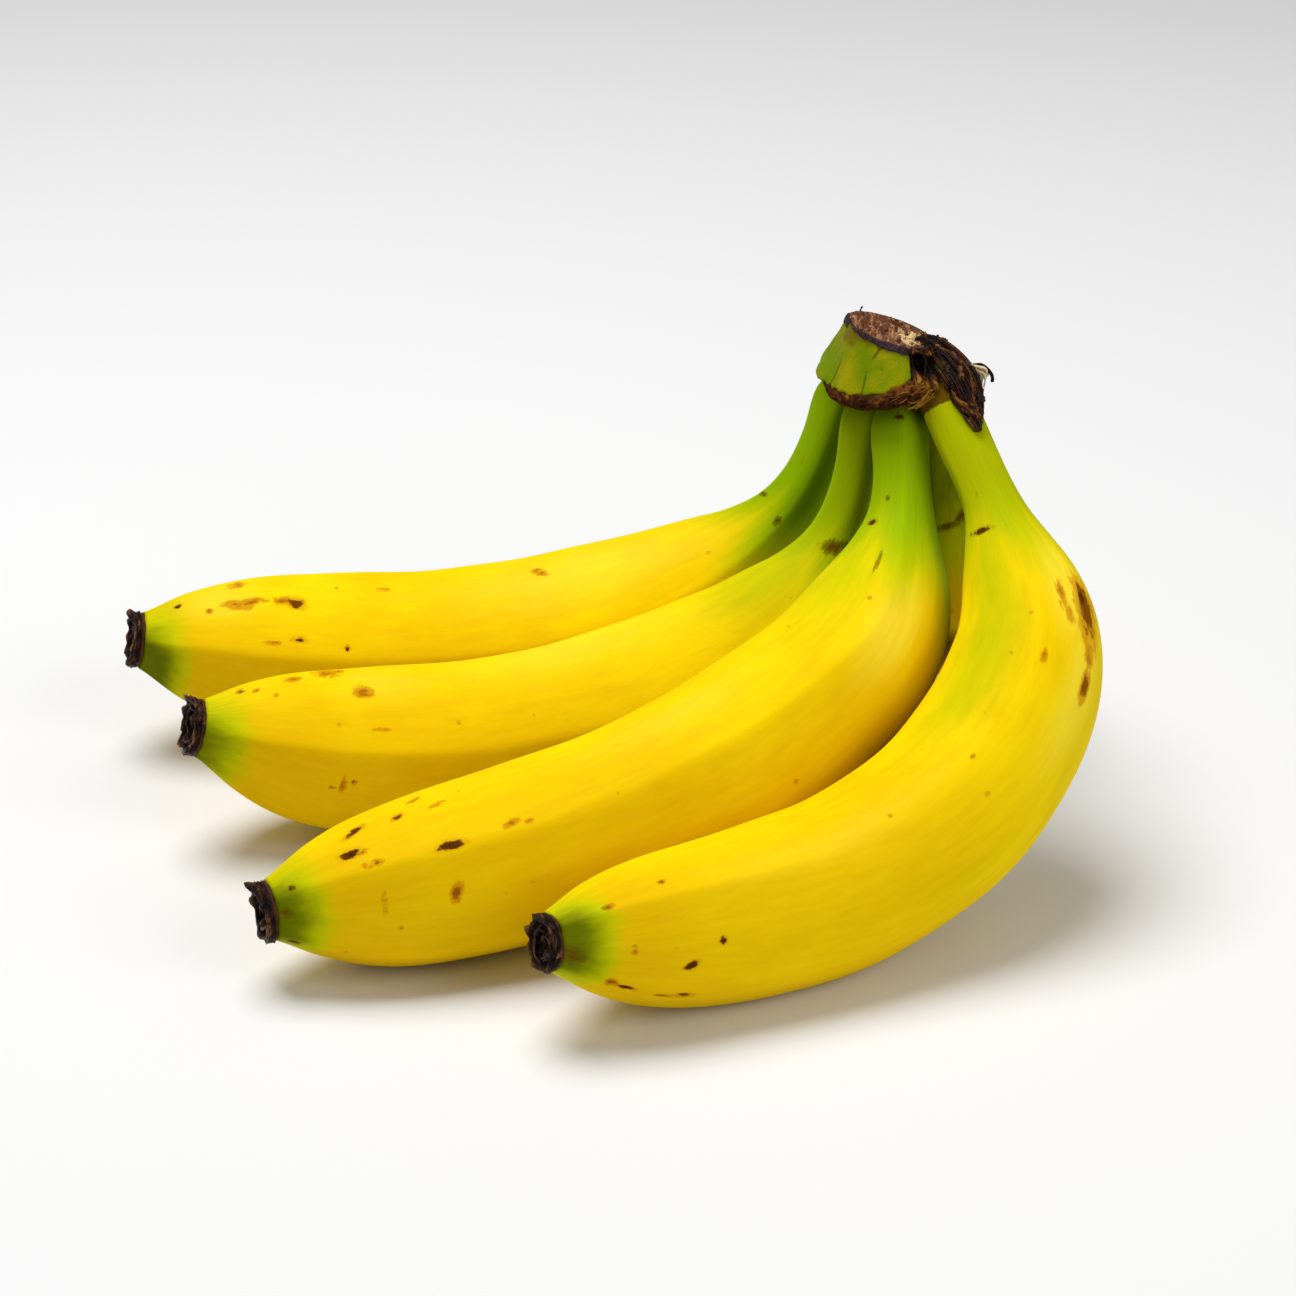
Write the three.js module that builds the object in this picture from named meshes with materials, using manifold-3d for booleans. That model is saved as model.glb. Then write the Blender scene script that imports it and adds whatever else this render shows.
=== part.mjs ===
// A hand of five bananas: fingers joined at one cut crown, lying on a flat surface.
// Millimetres, +Z up, the surface at z = 0. The crown is at the top right (+X), the
// blossom ends point left (-X), and the fingers fan out from front (-Y) to back (+Y).

import * as THREE from 'three';
import { mergeVertices } from 'three/addons/utils/BufferGeometryUtils.js';
import Module from 'manifold-3d';

const wasm = await Module();
wasm.setup();

// ---------------------------------------------------------------- driving dimensions

const surfaceHeight = 0;      // what the hand lies on
const fitGap = 0.35;          // kept between pieces that touch
const fingerSides = 20;       // a multiple of the five ridges
const fingerRings = 32;
const neckRings = 6;          // those of them that the crown's sockets clear
const ridgeCount = 5;
const ridgeHeight = 0.035;    // of the finger's radius

// A finger's spine runs from its root in the crown to its blossom end, through points
// one sixth of its length apart. Girth is the largest radius. Roll turns the ridges
// round the spine. Neck scales the thin part, and early moves the shoulder up.
const fingers = [
  {
    name: '1', girth: 20.2, neck: 1.0, early: 0, roll: 10,
    spine: [[65.5, 54, 99], [52, 55.5, 60], [27, 56, 36], [-5.5, 55, 23], [-39.5, 52.5, 18.7],
      [-74, 47.5, 21.4], [-105.5, 39, 28.2]],
  },
  {
    name: '2', girth: 19.6, neck: 1.03, early: 0.15, roll: -7,
    spine: [[68.5, 42.5, 100], [60.5, 31.5, 60.5], [39.5, 21.5, 36], [9.5, 12.5, 23], [-23, 4.5, 18],
      [-56, -4, 20.5], [-85.5, -14, 30]],
  },
  {
    name: '3', girth: 19.5, neck: 0.9, early: 0.6, roll: -6,
    spine: [[70.5, 30.5, 101], [70.5, 7.5, 67.5], [59, -17, 47], [31.5, -35, 31], [1, -49.5, 21.5],
      [-31.5, -63.5, 17.5], [-63.5, -76.5, 17.5]],
  },
  {
    name: '4', girth: 18.3, neck: 0.85, early: 0.5, roll: -6,
    spine: [[79.9, 25.2, 101], [92, 0, 74.5], [96.9, -26, 52.5], [82.6, -49, 32], [56.2, -66.7, 19],
      [25.5, -82.5, 17], [-4.5, -99.5, 22.5]],
  },
  {
    name: '5', girth: 16.6, neck: 1.0, early: 0, roll: 0,
    spine: [[79.7, 37.8, 102], [83.5, 44.5, 67], [88, 55, 41], [80, 72, 22], [56, 85, 15.8], [28, 90, 15.8],
      [0, 89, 20]],
  },
];

// A finger's radius along its spine, as a share of its girth.
const neckEnd = { from: 0.15, to: 0.28 };
const fingerProfile = [
  [0.00, 0.28], [0.03, 0.335], [0.10, 0.345], [0.15, 0.36], [0.20, 0.415], [0.25, 0.555],
  [0.30, 0.73], [0.35, 0.855], [0.42, 0.955], [0.52, 0.995], [0.65, 1.00], [0.75, 0.985],
  [0.85, 0.905], [0.91, 0.79], [0.96, 0.60], [1.00, 0.37],
];

// The crown: a pad with an elliptical foot over the roots, and a slanted cut top.
const crown = {
  foot: { x: 68.8, y: 36.9, z: 97.4, slopeX: 0.2, slopeY: 0.02, long: 24, wide: 14.4 },
  cut: { x: 69.5, y: 36.4, z: 107, slopeX: -0.21, slopeY: -0.11, long: 16, wide: 9.5 },
  turn: -83,                  // degrees from +X to the long axis
  lip: 0.6,                   // how far the fringe round the foot stands out
  sides: 32,
};

// The torn sheath hugs the crown's right side, and its flap hangs over the fourth
// finger's neck. The flap runs through places with a width and a thickness at each.
const sheath = {
  from: -76, to: 30,          // degrees round the crown, 0 along +X
  gap: 0.35,
  thick: 2.2,
  lowest: 0.1,                // its edges, as shares of the crown's height
  highest: [1, 0.6],          // from the front to the right
  flap: [
    { place: [79, 30, 104.1], width: 7, thick: 3.4 },
    { place: [82.4, 24, 102.8], width: 9.5, thick: 3.8 },
    { place: [85.2, 18, 100.5], width: 8.5, thick: 3.6 },
    { place: [86.9, 13, 97.5], width: 5.8, thick: 3.2 },
    { place: [88.5, 9, 93.6], width: 2, thick: 2.2 },
  ],
};

// The dried blossom end: a rough little cup on the finger's tip.
const stub = { length: 4, root: 6.4, waist: 6.8, rim: 6.0, cup: 1.8, sides: 15, rough: 0.07 };

const colours = {
  peel: '#f2cf0a',
  crown: '#6f8d12',
  sheath: '#3a2410',
  stub: '#1c120b',
};

// ---------------------------------------------------------------- helpers

function finish(colour) {
  return new THREE.MeshStandardMaterial({ color: colour, roughness: 0.5, metalness: 0 });
}

// A smooth value through [place, value] pairs, with slopes from the neighbours.
function valueAlong(pairs, place) {
  let k = 0;
  while (k < pairs.length - 2 && place > pairs[k + 1][0]) k += 1;
  const slope = (i) => {
    const before = pairs[Math.max(i - 1, 0)];
    const after = pairs[Math.min(i + 1, pairs.length - 1)];
    return (after[1] - before[1]) / (after[0] - before[0]);
  };
  const [x0, y0] = pairs[k];
  const [x1, y1] = pairs[k + 1];
  const width = x1 - x0;
  const t = (place - x0) / width;
  return y0 * (1 + 2 * t) * (1 - t) ** 2 + y1 * t * t * (3 - 2 * t)
    + width * (slope(k) * t * (1 - t) ** 2 - slope(k + 1) * t * t * (1 - t));
}

// A closed solid from rings of equally many points, capped at both ends.
function solidFromRings(rings) {
  const count = rings[0].length;
  const positions = [];
  const index = [];
  rings.flat().forEach((p) => positions.push(p.x, p.y, p.z));
  for (let r = 0; r < rings.length - 1; r += 1) {
    for (let s = 0; s < count; s += 1) {
      const a = r * count + s;
      const b = r * count + ((s + 1) % count);
      index.push(a, b, b + count, a, b + count, a + count);
    }
  }
  [0, rings.length - 1].forEach((r) => {
    const middle = rings[r].reduce((sum, p) => sum.add(p), new THREE.Vector3()).divideScalar(count);
    const centre = positions.length / 3;
    positions.push(middle.x, middle.y, middle.z);
    for (let s = 0; s < count; s += 1) {
      const a = r * count + s;
      const b = r * count + ((s + 1) % count);
      index.push(...(r === 0 ? [centre, b, a] : [centre, a, b]));
    }
  });
  if (signedVolume(positions, index) < 0) index.reverse();
  const geometry = new THREE.BufferGeometry();
  geometry.setAttribute('position', new THREE.Float32BufferAttribute(positions, 3));
  geometry.setIndex(index);
  return geometry;
}

function signedVolume(positions, index) {
  const corner = (i) => new THREE.Vector3().fromArray(positions, 3 * i);
  let volume = 0;
  for (let k = 0; k < index.length; k += 3) {
    volume += corner(index[k]).dot(corner(index[k + 1]).cross(corner(index[k + 2]))) / 6;
  }
  return volume;
}

function toSolid(geometry) {
  const merged = mergeVertices(geometry, 1e-4);
  return new wasm.Manifold(new wasm.Mesh({
    numProp: 3,
    vertProperties: new Float32Array(merged.attributes.position.array),
    triVerts: new Uint32Array(merged.index.array),
  }));
}

function toGeometry(solid) {
  const mesh = solid.getMesh();
  const geometry = new THREE.BufferGeometry();
  geometry.setAttribute('position', new THREE.BufferAttribute(mesh.vertProperties, 3));
  geometry.setIndex(new THREE.BufferAttribute(mesh.triVerts, 1));
  return geometry;
}

function namedMesh(name, geometry, colour) {
  geometry.computeVertexNormals();
  const mesh = new THREE.Mesh(geometry, finish(colour));
  mesh.name = name;
  return mesh;
}

// ---------------------------------------------------------------- fingers

// The spine's point and the directions across it: out is the convex back of the bend.
function spineFrame(finger, place) {
  const points = finger.spine.map((p) => new THREE.Vector3(...p));
  const curve = new THREE.CatmullRomCurve3(points, false, 'catmullrom', 0.5);
  const first = points[0];
  const toMiddle = points[3].clone().sub(first);
  const toTip = points[6].clone().sub(first);
  const bendAxis = toMiddle.cross(toTip).normalize();
  const along = curve.getTangent(place).normalize();
  const out = bendAxis.clone().cross(along).normalize();
  const side = along.clone().cross(out);
  return { point: curve.getPoint(place), along, out, side };
}

function fingerRadius(finger, place) {
  const shifted = place + finger.early * place * (1 - place) ** 3;
  const body = THREE.MathUtils.smoothstep(shifted, neckEnd.from, neckEnd.to);
  return finger.girth * valueAlong(fingerProfile, shifted) * THREE.MathUtils.lerp(finger.neck, 1, body);
}

// One ring of the finger, grown by a margin, lying on the surface where it would sink.
function fingerRing(finger, place, margin = 0) {
  const { point, along, out, side } = spineFrame(finger, place);
  const ring = [];
  for (let s = 0; s < fingerSides; s += 1) {
    const turn = (2 * Math.PI * s) / fingerSides;
    const ridge = 1 + ridgeHeight * Math.cos(ridgeCount * turn);
    const angle = turn + THREE.MathUtils.degToRad(finger.roll);
    const reach = fingerRadius(finger, place) * ridge + margin;
    const p = point.clone()
      .addScaledVector(out, reach * Math.cos(angle))
      .addScaledVector(side, reach * Math.sin(angle));
    p.z = Math.max(p.z, surfaceHeight);
    ring.push(p);
  }
  return { ring, along };
}

function fingerGeometry(finger) {
  const rings = [];
  for (let r = 0; r <= fingerRings; r += 1) rings.push(fingerRing(finger, r / fingerRings).ring);
  return solidFromRings(rings);
}

// The space that a finger's root and neck need, with the fitting gap all round.
function neckClearance(finger) {
  const rings = [];
  for (let r = 0; r <= neckRings; r += 1) rings.push(fingerRing(finger, r / fingerRings, fitGap));
  rings[0].ring.forEach((p) => p.addScaledVector(rings[0].along, -fitGap));
  return toSolid(solidFromRings(rings.map((r) => r.ring)));
}

// ---------------------------------------------------------------- blossom ends

function stubGeometry(finger) {
  const { point, along, out, side } = spineFrame(finger, 1);
  const size = fingerRadius(finger, 1) / 7;
  const shape = [
    [fitGap, stub.root], [stub.length * 0.4, stub.waist], [stub.length * 0.85, stub.waist],
    [stub.length, stub.rim], [stub.length * 0.9, stub.rim * 0.75], [stub.length - stub.cup, stub.rim * 0.4],
  ];
  const rings = shape.map(([reach, radius], r) => {
    const ring = [];
    for (let s = 0; s < stub.sides; s += 1) {
      const angle = (2 * Math.PI * s) / stub.sides;
      const ragged = 1 + (r > 0 ? stub.rough : 0) * Math.sin(4 * angle + 1.7 * r);
      const lift = r > 1 && r < 5 ? 0.6 * Math.sin(3 * angle + r) : 0;
      ring.push(point.clone()
        .addScaledVector(along, (reach + lift) * size)
        .addScaledVector(out, radius * size * ragged * Math.cos(angle))
        .addScaledVector(side, radius * size * ragged * Math.sin(angle)));
    }
    return ring;
  });
  return solidFromRings(rings);
}

// ---------------------------------------------------------------- crown

// A point on one of the crown's two ellipses, at an angle in degrees round from +X.
function ellipsePoint(oval, degrees, margin = 0) {
  const turn = THREE.MathUtils.degToRad(crown.turn);
  const angle = THREE.MathUtils.degToRad(degrees) - turn;
  const long = oval.long + margin;
  const wide = oval.wide + margin;
  const reach = (long * wide) / Math.hypot(wide * Math.cos(angle), long * Math.sin(angle));
  const dx = reach * Math.cos(angle + turn);
  const dy = reach * Math.sin(angle + turn);
  return new THREE.Vector3(oval.x + dx, oval.y + dy, oval.z + oval.slopeX * dx + oval.slopeY * dy);
}

// A point on the crown's side, from its foot (height 0) to its cut top (height 1).
function crownPoint(degrees, height, margin = 0) {
  const low = ellipsePoint(crown.foot, degrees, margin);
  const high = ellipsePoint(crown.cut, degrees, margin);
  return low.lerp(high, height);
}

// The crown without its sockets, grown by a margin.
function crownSolid(margin = 0) {
  const levels = [
    [0, -2], [0, 0], [0.05, crown.lip], [0.2, crown.lip], [0.26, 0.4], [0.5, 0.9], [1, 0],
  ];
  const rings = levels.map(([height, swell]) => {
    const ring = [];
    for (let s = 0; s < crown.sides; s += 1) {
      ring.push(crownPoint((360 * s) / crown.sides, height, swell + margin));
    }
    return ring;
  });
  return toSolid(solidFromRings(rings));
}

function crownGeometry(necks) {
  let solid = crownSolid();
  necks.forEach((neck) => { solid = solid.subtract(neck); });
  return toGeometry(solid);
}

// ---------------------------------------------------------------- torn sheath

// The band round the crown's right side, as a curved slab standing off the crown.
function bandSolid() {
  const columns = 14;
  const rows = 4;
  const skin = (depth) => (i, j) => {
    const degrees = sheath.from + ((sheath.to - sheath.from) * i) / columns;
    const highest = THREE.MathUtils.lerp(...sheath.highest, Math.min((1.6 * i) / columns, 1));
    const height = sheath.lowest + ((highest - sheath.lowest) * j) / rows;
    return crownPoint(degrees, height, depth + crown.lip);
  };
  const inner = skin(sheath.gap);
  const outer = skin(sheath.gap + sheath.thick);
  const rings = [];
  for (let i = 0; i <= columns; i += 1) {
    const ring = [];
    for (let j = 0; j <= rows; j += 1) ring.push(inner(i, j));
    for (let j = rows; j >= 0; j -= 1) ring.push(outer(i, j));
    rings.push(ring);
  }
  return toSolid(solidFromRings(rings));
}

// The hanging flap: an oval section swept through its places, its width along the crown.
function flapSolid() {
  const sides = 10;
  const places = sheath.flap.map((f) => new THREE.Vector3(...f.place));
  const rings = sheath.flap.map((f, k) => {
    const ahead = places[Math.min(k + 1, places.length - 1)];
    const along = ahead.clone().sub(places[Math.min(k, places.length - 2)]).normalize();
    const across = new THREE.Vector3(0.75, 0.66, 0).projectOnPlane(along).normalize();
    const outward = along.clone().cross(across);
    const ring = [];
    for (let s = 0; s < sides; s += 1) {
      const angle = (2 * Math.PI * s) / sides;
      ring.push(places[k].clone()
        .addScaledVector(across, 0.5 * f.width * Math.cos(angle))
        .addScaledVector(outward, 0.5 * f.thick * Math.sin(angle)));
    }
    return ring;
  });
  return toSolid(solidFromRings(rings));
}

function sheathGeometry(necks) {
  let solid = bandSolid().add(flapSolid()).subtract(crownSolid(sheath.gap));
  necks.forEach((neck) => { solid = solid.subtract(neck); });
  return toGeometry(solid);
}

// ---------------------------------------------------------------- the whole hand

const hand = new THREE.Group();
const necks = fingers.map(neckClearance);
hand.add(namedMesh('crown', crownGeometry(necks), colours.crown));
hand.add(namedMesh('torn_sheath', sheathGeometry(necks), colours.sheath));
fingers.forEach((finger) => {
  hand.add(namedMesh(`banana_${finger.name}`, fingerGeometry(finger), colours.peel));
  hand.add(namedMesh(`blossom_end_${finger.name}`, stubGeometry(finger), colours.stub));
});

export default hand;
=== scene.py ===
import math
import random

import bmesh
import bpy
import numpy as np
from bpy.props import (
    FloatProperty,
    FloatVectorProperty,
    IntProperty,
    PointerProperty,
)
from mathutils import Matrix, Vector, noise


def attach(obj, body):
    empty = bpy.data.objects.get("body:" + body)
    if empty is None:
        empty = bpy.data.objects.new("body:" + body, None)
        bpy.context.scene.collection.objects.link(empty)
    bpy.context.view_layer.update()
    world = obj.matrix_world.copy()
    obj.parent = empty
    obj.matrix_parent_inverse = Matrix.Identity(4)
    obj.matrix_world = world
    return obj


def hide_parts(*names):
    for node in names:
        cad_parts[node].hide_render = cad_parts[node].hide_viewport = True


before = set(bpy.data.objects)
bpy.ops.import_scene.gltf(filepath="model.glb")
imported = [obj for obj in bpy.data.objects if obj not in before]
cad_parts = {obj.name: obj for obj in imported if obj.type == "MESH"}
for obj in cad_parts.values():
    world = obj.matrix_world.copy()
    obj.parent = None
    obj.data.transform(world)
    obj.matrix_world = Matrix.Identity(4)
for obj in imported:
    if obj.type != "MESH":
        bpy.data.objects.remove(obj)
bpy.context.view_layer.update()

bl_info = {
    "name": "Banana hand",
    "version": (1, 0, 0),
    "blender": (4, 5, 0),
    "location": "View3D > Sidebar > Fruit",
    "description": "Dresses a hand of five bananas: peel, crown, torn sheath and blossom ends",
    "category": "Object",
}

MM = 0.001

# ------------------------------------------------------------------ the hand's sizes

# A finger's spine in millimetres from its root in the crown to its blossom end, its
# largest radius in millimetres, how thick its neck is, how far its shoulder moves up, and
# the turn of its ridges in degrees. Its green ends at green_to along it, unripe is how
# green it is, and tip is how dull its tip is.
FINGERS = {
    1: dict(girth=20.2, neck=1.0, early=0.0, roll=10, green_to=0.265, unripe=1.0, tip=1.2, spine=(
        (65.5, 54, 99), (52, 55.5, 60), (27, 56, 36), (-5.5, 55, 23), (-39.5, 52.5, 18.7),
        (-74, 47.5, 21.4), (-105.5, 39, 28.2))),
    2: dict(girth=19.6, neck=1.03, early=0.15, roll=-7, green_to=0.275, unripe=0.82, tip=0.86, spine=(
        (68.5, 42.5, 100), (60.5, 31.5, 60.5), (39.5, 21.5, 36), (9.5, 12.5, 23), (-23, 4.5, 18),
        (-56, -4, 20.5), (-85.5, -14, 30))),
    3: dict(girth=19.5, neck=0.9, early=0.6, roll=-6, green_to=0.25, unripe=0.86, tip=1.0, spine=(
        (70.5, 30.5, 101), (70.5, 7.5, 67.5), (59, -17, 47), (31.5, -35, 31), (1, -49.5, 21.5),
        (-31.5, -63.5, 17.5), (-63.5, -76.5, 17.5))),
    4: dict(girth=18.3, neck=0.85, early=0.5, roll=-6, green_to=0.25, unripe=0.58, tip=1.08, spine=(
        (79.9, 25.2, 101), (92, 0, 74.5), (96.9, -26, 52.5), (82.6, -49, 32), (56.2, -66.7, 19),
        (25.5, -82.5, 17), (-4.5, -99.5, 22.5))),
    5: dict(girth=16.6, neck=1.0, early=0.0, roll=0, green_to=0.29, unripe=0.75, tip=1.0, spine=(
        (79.7, 37.8, 102), (83.5, 44.5, 67), (88, 55, 41), (80, 72, 22), (56, 85, 15.8),
        (28, 90, 15.8), (0, 89, 20))),
}

# A finger's radius along its spine, as a share of its girth.
FINGER_PROFILE = (
    (0.00, 0.28), (0.03, 0.335), (0.10, 0.345), (0.15, 0.36), (0.20, 0.415), (0.25, 0.555),
    (0.30, 0.73), (0.35, 0.855), (0.42, 0.955), (0.52, 0.995), (0.65, 1.00), (0.75, 0.985),
    (0.85, 0.905), (0.91, 0.79), (0.96, 0.60), (1.00, 0.37),
)
NECK_FROM, NECK_TO = 0.15, 0.28
PEEL_END = 1.0085         # the peel's edge laps over the blossom end
HOLLOW = 0.02             # how deep the peel's end is hollow, as a share of the finger
PRESSED_FROM = 0.9        # millimetres above the surface under which the peel is pressed flat
PRESSED_EDGE = 0.12       # how soft the edge of the flat is, in square millimetres
PATTERN_RADIUS = 0.018    # metres
SCUFF_DEPTH = 0.25        # millimetres
BELOW_AT = 245            # degrees round a finger at which its side faces down
AT_MIDDLE = 0.5           # points nearer than this to a plain cylinder's middle line are on it
RIDGES = 5
RIDGE_SHARPNESS = 22

# Ridges worn soft: degrees round the finger, from and to place, and how soft.
SOFT_RIDGES = {
    4: ((210, -0.2, 1.2, 0.95), (282, 0.30, 0.78, 0.6), (138, -0.2, 1.2, 0.6)),
}

# Lime drifting down a shoulder: degrees round, half width in degrees, the place where it
# ends and how strong it is.
LIME_DRIFTS = {
    1: ((340, 60, 0.40, 0.36),),
    2: ((345, 70, 0.54, 0.52),),
    3: ((330, 50, 0.52, 0.52), (292, 18, 0.44, 0.44), (205, 40, 0.26, 0.3)),
    4: ((322, 34, 0.70, 0.44), (292, 30, 0.40, 0.34), (240, 50, 0.22, 0.3), (215, 26, 0.90, 0.22)),
    5: ((270, 90, 0.34, 0.16),),
}

# Painted sheen, pale highlights where the light falls brightest: place, degrees round, half
# length as a share of the finger, half width in degrees and strength.
PAINTED_SHEENS = {
    1: ((0.45, 345, 0.22, 30, 0.6), (0.93, 350, 0.06, 30, 0.6)),
    2: ((0.55, 345, 0.2, 26, 0.5), (0.80, 335, 0.08, 20, 0.5)),
    3: ((0.30, 265, 0.07, 22, 1.0), (0.55, 320, 0.15, 20, 0.5)),
    4: ((0.27, 255, 0.07, 24, 1.0), (0.38, 240, 0.1, 20, 0.8), (0.7, 290, 0.2, 18, 0.5)),
}

# Shade between the fingers: degrees round, half width in degrees, the places between which
# it starts and between which it fades, and strength. A root is dark as far as ROOT_SHADE_TO.
FROM_THE_ROOT = (-1, 0)
FRONT_SHADES = (
    (180, 46, FROM_THE_ROOT, (0.12, 0.24), 0.7), (0, math.inf, FROM_THE_ROOT, (0.035, 0.085), 0.55))
SHADES = {
    1: (*FRONT_SHADES, (285, 24, FROM_THE_ROOT, (0.16, 0.25), 0.62)),
    2: (*FRONT_SHADES, (284, 16, FROM_THE_ROOT, (0.15, 0.24), 0.70)),
    3: (*FRONT_SHADES, (198, 25, (0.19, 0.27), (0.38, 0.50), 0.96)),
    4: ((0, math.inf, FROM_THE_ROOT, (0.12, 0.24), 0.20),),
    5: ((0, math.inf, FROM_THE_ROOT, (0.34, 0.5), 0.38), (258, 34, (0.335, 0.40), (0.52, 0.62), 0.93),
        (320, 60, FROM_THE_ROOT, (0.28, 0.42), 0.85)),
}
ROOT_SHADE_TO = {1: 0.03, 2: 0.03, 3: 0.03, 4: 0.016, 5: 0.075}
CLOSE_GAP = 1.3    # millimetres over which the shade of a touching finger fades

# Blemishes: place along the finger, degrees round it, half length and half width in
# millimetres, slant in degrees, and how dark it is.
SCUFFS = {
    1: (
        (0.908, 343, 2.6, 1.0, 8, 0.55), (0.892, 345, 2.4, 0.8, -5, 0.55), (0.872, 345, 1.0, 0.4, 0, 0.45),
        (0.850, 345, 2.0, 0.8, 0, 0.50), (0.833, 342, 2.0, 1.2, 20, 0.75), (0.828, 311, 1.7, 0.5, 0, 0.85),
        (0.865, 308, 2.6, 0.35, 0, 0.35), (0.769, 306, 0.6, 0.6, 0, 0.85), (0.511, 355, 1.6, 0.7, 20, 0.5),
        (0.974, 356, 0.55, 0.5, 0, 0.8), (0.940, 340, 0.6, 0.5, 0, 0.6), (0.905, 5, 1.9, 0.7, 0, 0.3),
        (0.721, 354, 2.0, 0.5, 0, 0.25), (0.198, 3, 1.0, 0.5, 60, 0.7), (0.204, 304, 1.0, 0.6, 0, 0.5),
        (0.62, 200, 4.0, 0.9, 4, 0.7), (0.70, 150, 1.5, 1.0, 30, 0.8), (0.45, 110, 2.2, 0.7, 10, 0.6),
        (0.80, 90, 1.2, 0.8, 0, 0.8),
    ),
    2: (
        (0.872, 350, 2.7, 0.9, 4, 0.5), (0.856, 352, 1.2, 0.6, 0, 0.5), (0.826, 330, 2.2, 1.1, 5, 0.5),
        (0.917, 347, 1.5, 0.5, 0, 0.4), (0.974, 345, 0.7, 0.45, 0, 0.7), (0.958, 341, 0.5, 0.4, 0, 0.5),
        (0.938, 332, 0.6, 0.4, 0, 0.35), (0.850, 256, 0.5, 1.6, 0, 0.45), (0.838, 259, 0.6, 0.5, 20, 0.7),
        (0.862, 252, 0.5, 0.4, 0, 0.6), (0.806, 299, 1.8, 0.3, 0, 0.4), (0.181, 16, 0.9, 0.5, 40, 0.5),
        (0.193, 296, 2.4, 1.3, 60, 0.62), (0.58, 180, 2.5, 0.8, 6, 0.7), (0.75, 120, 1.2, 0.9, 0, 0.8),
    ),
    3: (
        (0.917, 330, 2.0, 0.8, -18, 0.8), (0.930, 303, 1.8, 1.1, 0, 0.95), (0.919, 300, 1.0, 0.5, -10, 0.6),
        (0.909, 286, 0.9, 0.6, 0, 0.75), (0.921, 285, 0.7, 0.4, 40, 0.55), (0.868, 326, 1.1, 0.8, -20, 0.75),
        (0.843, 340, 1.6, 0.5, -15, 0.3), (0.823, 325, 1.6, 0.5, -15, 0.3), (0.831, 284, 2.6, 0.85, 0, 1.0),
        (0.764, 287, 1.6, 0.6, -10, 0.55), (0.746, 285, 0.9, 0.5, 0, 0.4), (0.991, 291, 0.5, 0.55, 0, 0.95),
        (0.994, 201, 1.0, 0.7, 0, 0.95), (1.000, 255, 1.0, 0.8, 0, 0.45), (0.835, 253, 0.9, 1.6, 25, 0.62),
        (0.908, 256, 0.35, 3.0, 0, 0.38), (0.895, 232, 0.5, 0.4, 0, 0.5), (0.758, 247, 0.6, 0.4, 0, 0.3),
        (0.163, 334, 0.7, 0.95, 0, 0.98), (0.133, 314, 0.5, 0.4, 0, 0.5), (0.235, 300, 3.5, 0.4, 0, 0.3),
        (0.055, 288, 0.45, 0.95, 12, 1.0), (0.60, 150, 3.0, 0.9, 8, 0.7),
        (0.70, 90, 1.4, 1.1, 0, 0.8),
    ),
    4: (
        (0.300, 236, 5.4, 2.2, 0, 0.70), (0.290, 238, 2.6, 1.0, 0, 0.92), (0.342, 238, 2.2, 0.9, 0, 0.5),
        (0.372, 238, 2.4, 1.0, 0, 0.66), (0.289, 263, 2.4, 0.9, 0, 0.4), (0.312, 258, 1.6, 0.7, 0, 0.3),
        (0.365, 277, 1.1, 0.6, 0, 0.45), (0.503, 285, 0.5, 0.5, 0, 0.6), (0.854, 242, 0.7, 0.7, 0, 1.0),
        (0.889, 225, 1.3, 0.6, -25, 0.92), (0.946, 237, 0.45, 0.45, 0, 0.55), (0.944, 194, 2.0, 0.5, 0, 0.8),
        (0.905, 191, 1.4, 0.4, 0, 0.7), (0.884, 194, 1.6, 0.6, 0, 0.75), (0.960, 196, 0.8, 0.9, 20, 0.6),
        (1.000, 228, 1.6, 1.4, 40, 0.5), (0.906, 297, 0.8, 0.5, 0, 0.65), (0.965, 287, 0.9, 0.5, 0, 0.65),
        (0.187, 327, 0.6, 2.0, 8, 1.0), (0.60, 170, 3.0, 1.0, 5, 0.7),
    ),
    5: (
        (0.211, 264, 0.6, 3.0, -8, 0.7), (0.202, 233, 0.6, 1.8, -40, 0.7), (0.216, 290, 1.0, 0.8, 0, 0.5),
        (0.6, 120, 2.5, 0.9, 0, 0.8), (0.75, 60, 1.5, 1.0, 20, 0.9), (0.45, 30, 1.2, 0.8, 0, 0.7),
        (0.85, 90, 2.0, 1.2, 30, 0.8),
    ),
}

# A blossom end's sizes are given for a finger's end of this radius in millimetres.
BLOSSOM_SIZE = 7
# Each blossom end's torn rim: lobes at degrees round it, with how far they stand out and
# how narrow they are, and dry spurs at degrees round it, with their length and their half
# thickness in millimetres.
BLOSSOM_LOBES = {
    1: ((8, 1.7, 7), (250, 0.8, 5), (190, 0.3, 8)),
    2: ((15, 1.8, 9), (305, 1.1, 14), (215, 0.4, 6)),
    3: ((325, 2.6, 6), (285, 0.5, 16), (235, 0.9, 12)),
    4: ((325, 2.0, 6), (262, 0.4, 10), (200, 0.5, 8)),
    5: ((20, 1.6, 8), (140, 0.9, 8), (260, 0.8, 12)),
}
BLOSSOM_SPURS = {
    1: ((268, 2.0, 0.35),),
    2: ((262, 1.6, 0.3), (300, 1.4, 0.8)),
    3: ((275, 2.2, 0.7), (243, 2.6, 0.8)),
    4: ((228, 3.4, 1.0),),
    5: ((60, 2.0, 0.5),),
}

# The crown's foot and its slanted cut: centre, slopes, half length and half width in
# millimetres, with the long axis turned by CROWN_TURN degrees from +X.
CROWN_FOOT = dict(x=68.8, y=36.9, z=97.4, slope_x=0.2, slope_y=0.02, long=24, wide=14.4)
CROWN_CUT = dict(x=69.5, y=36.4, z=107, slope_x=-0.26, slope_y=-0.11, long=16, wide=9.5)
CROWN_TURN = -83

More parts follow.
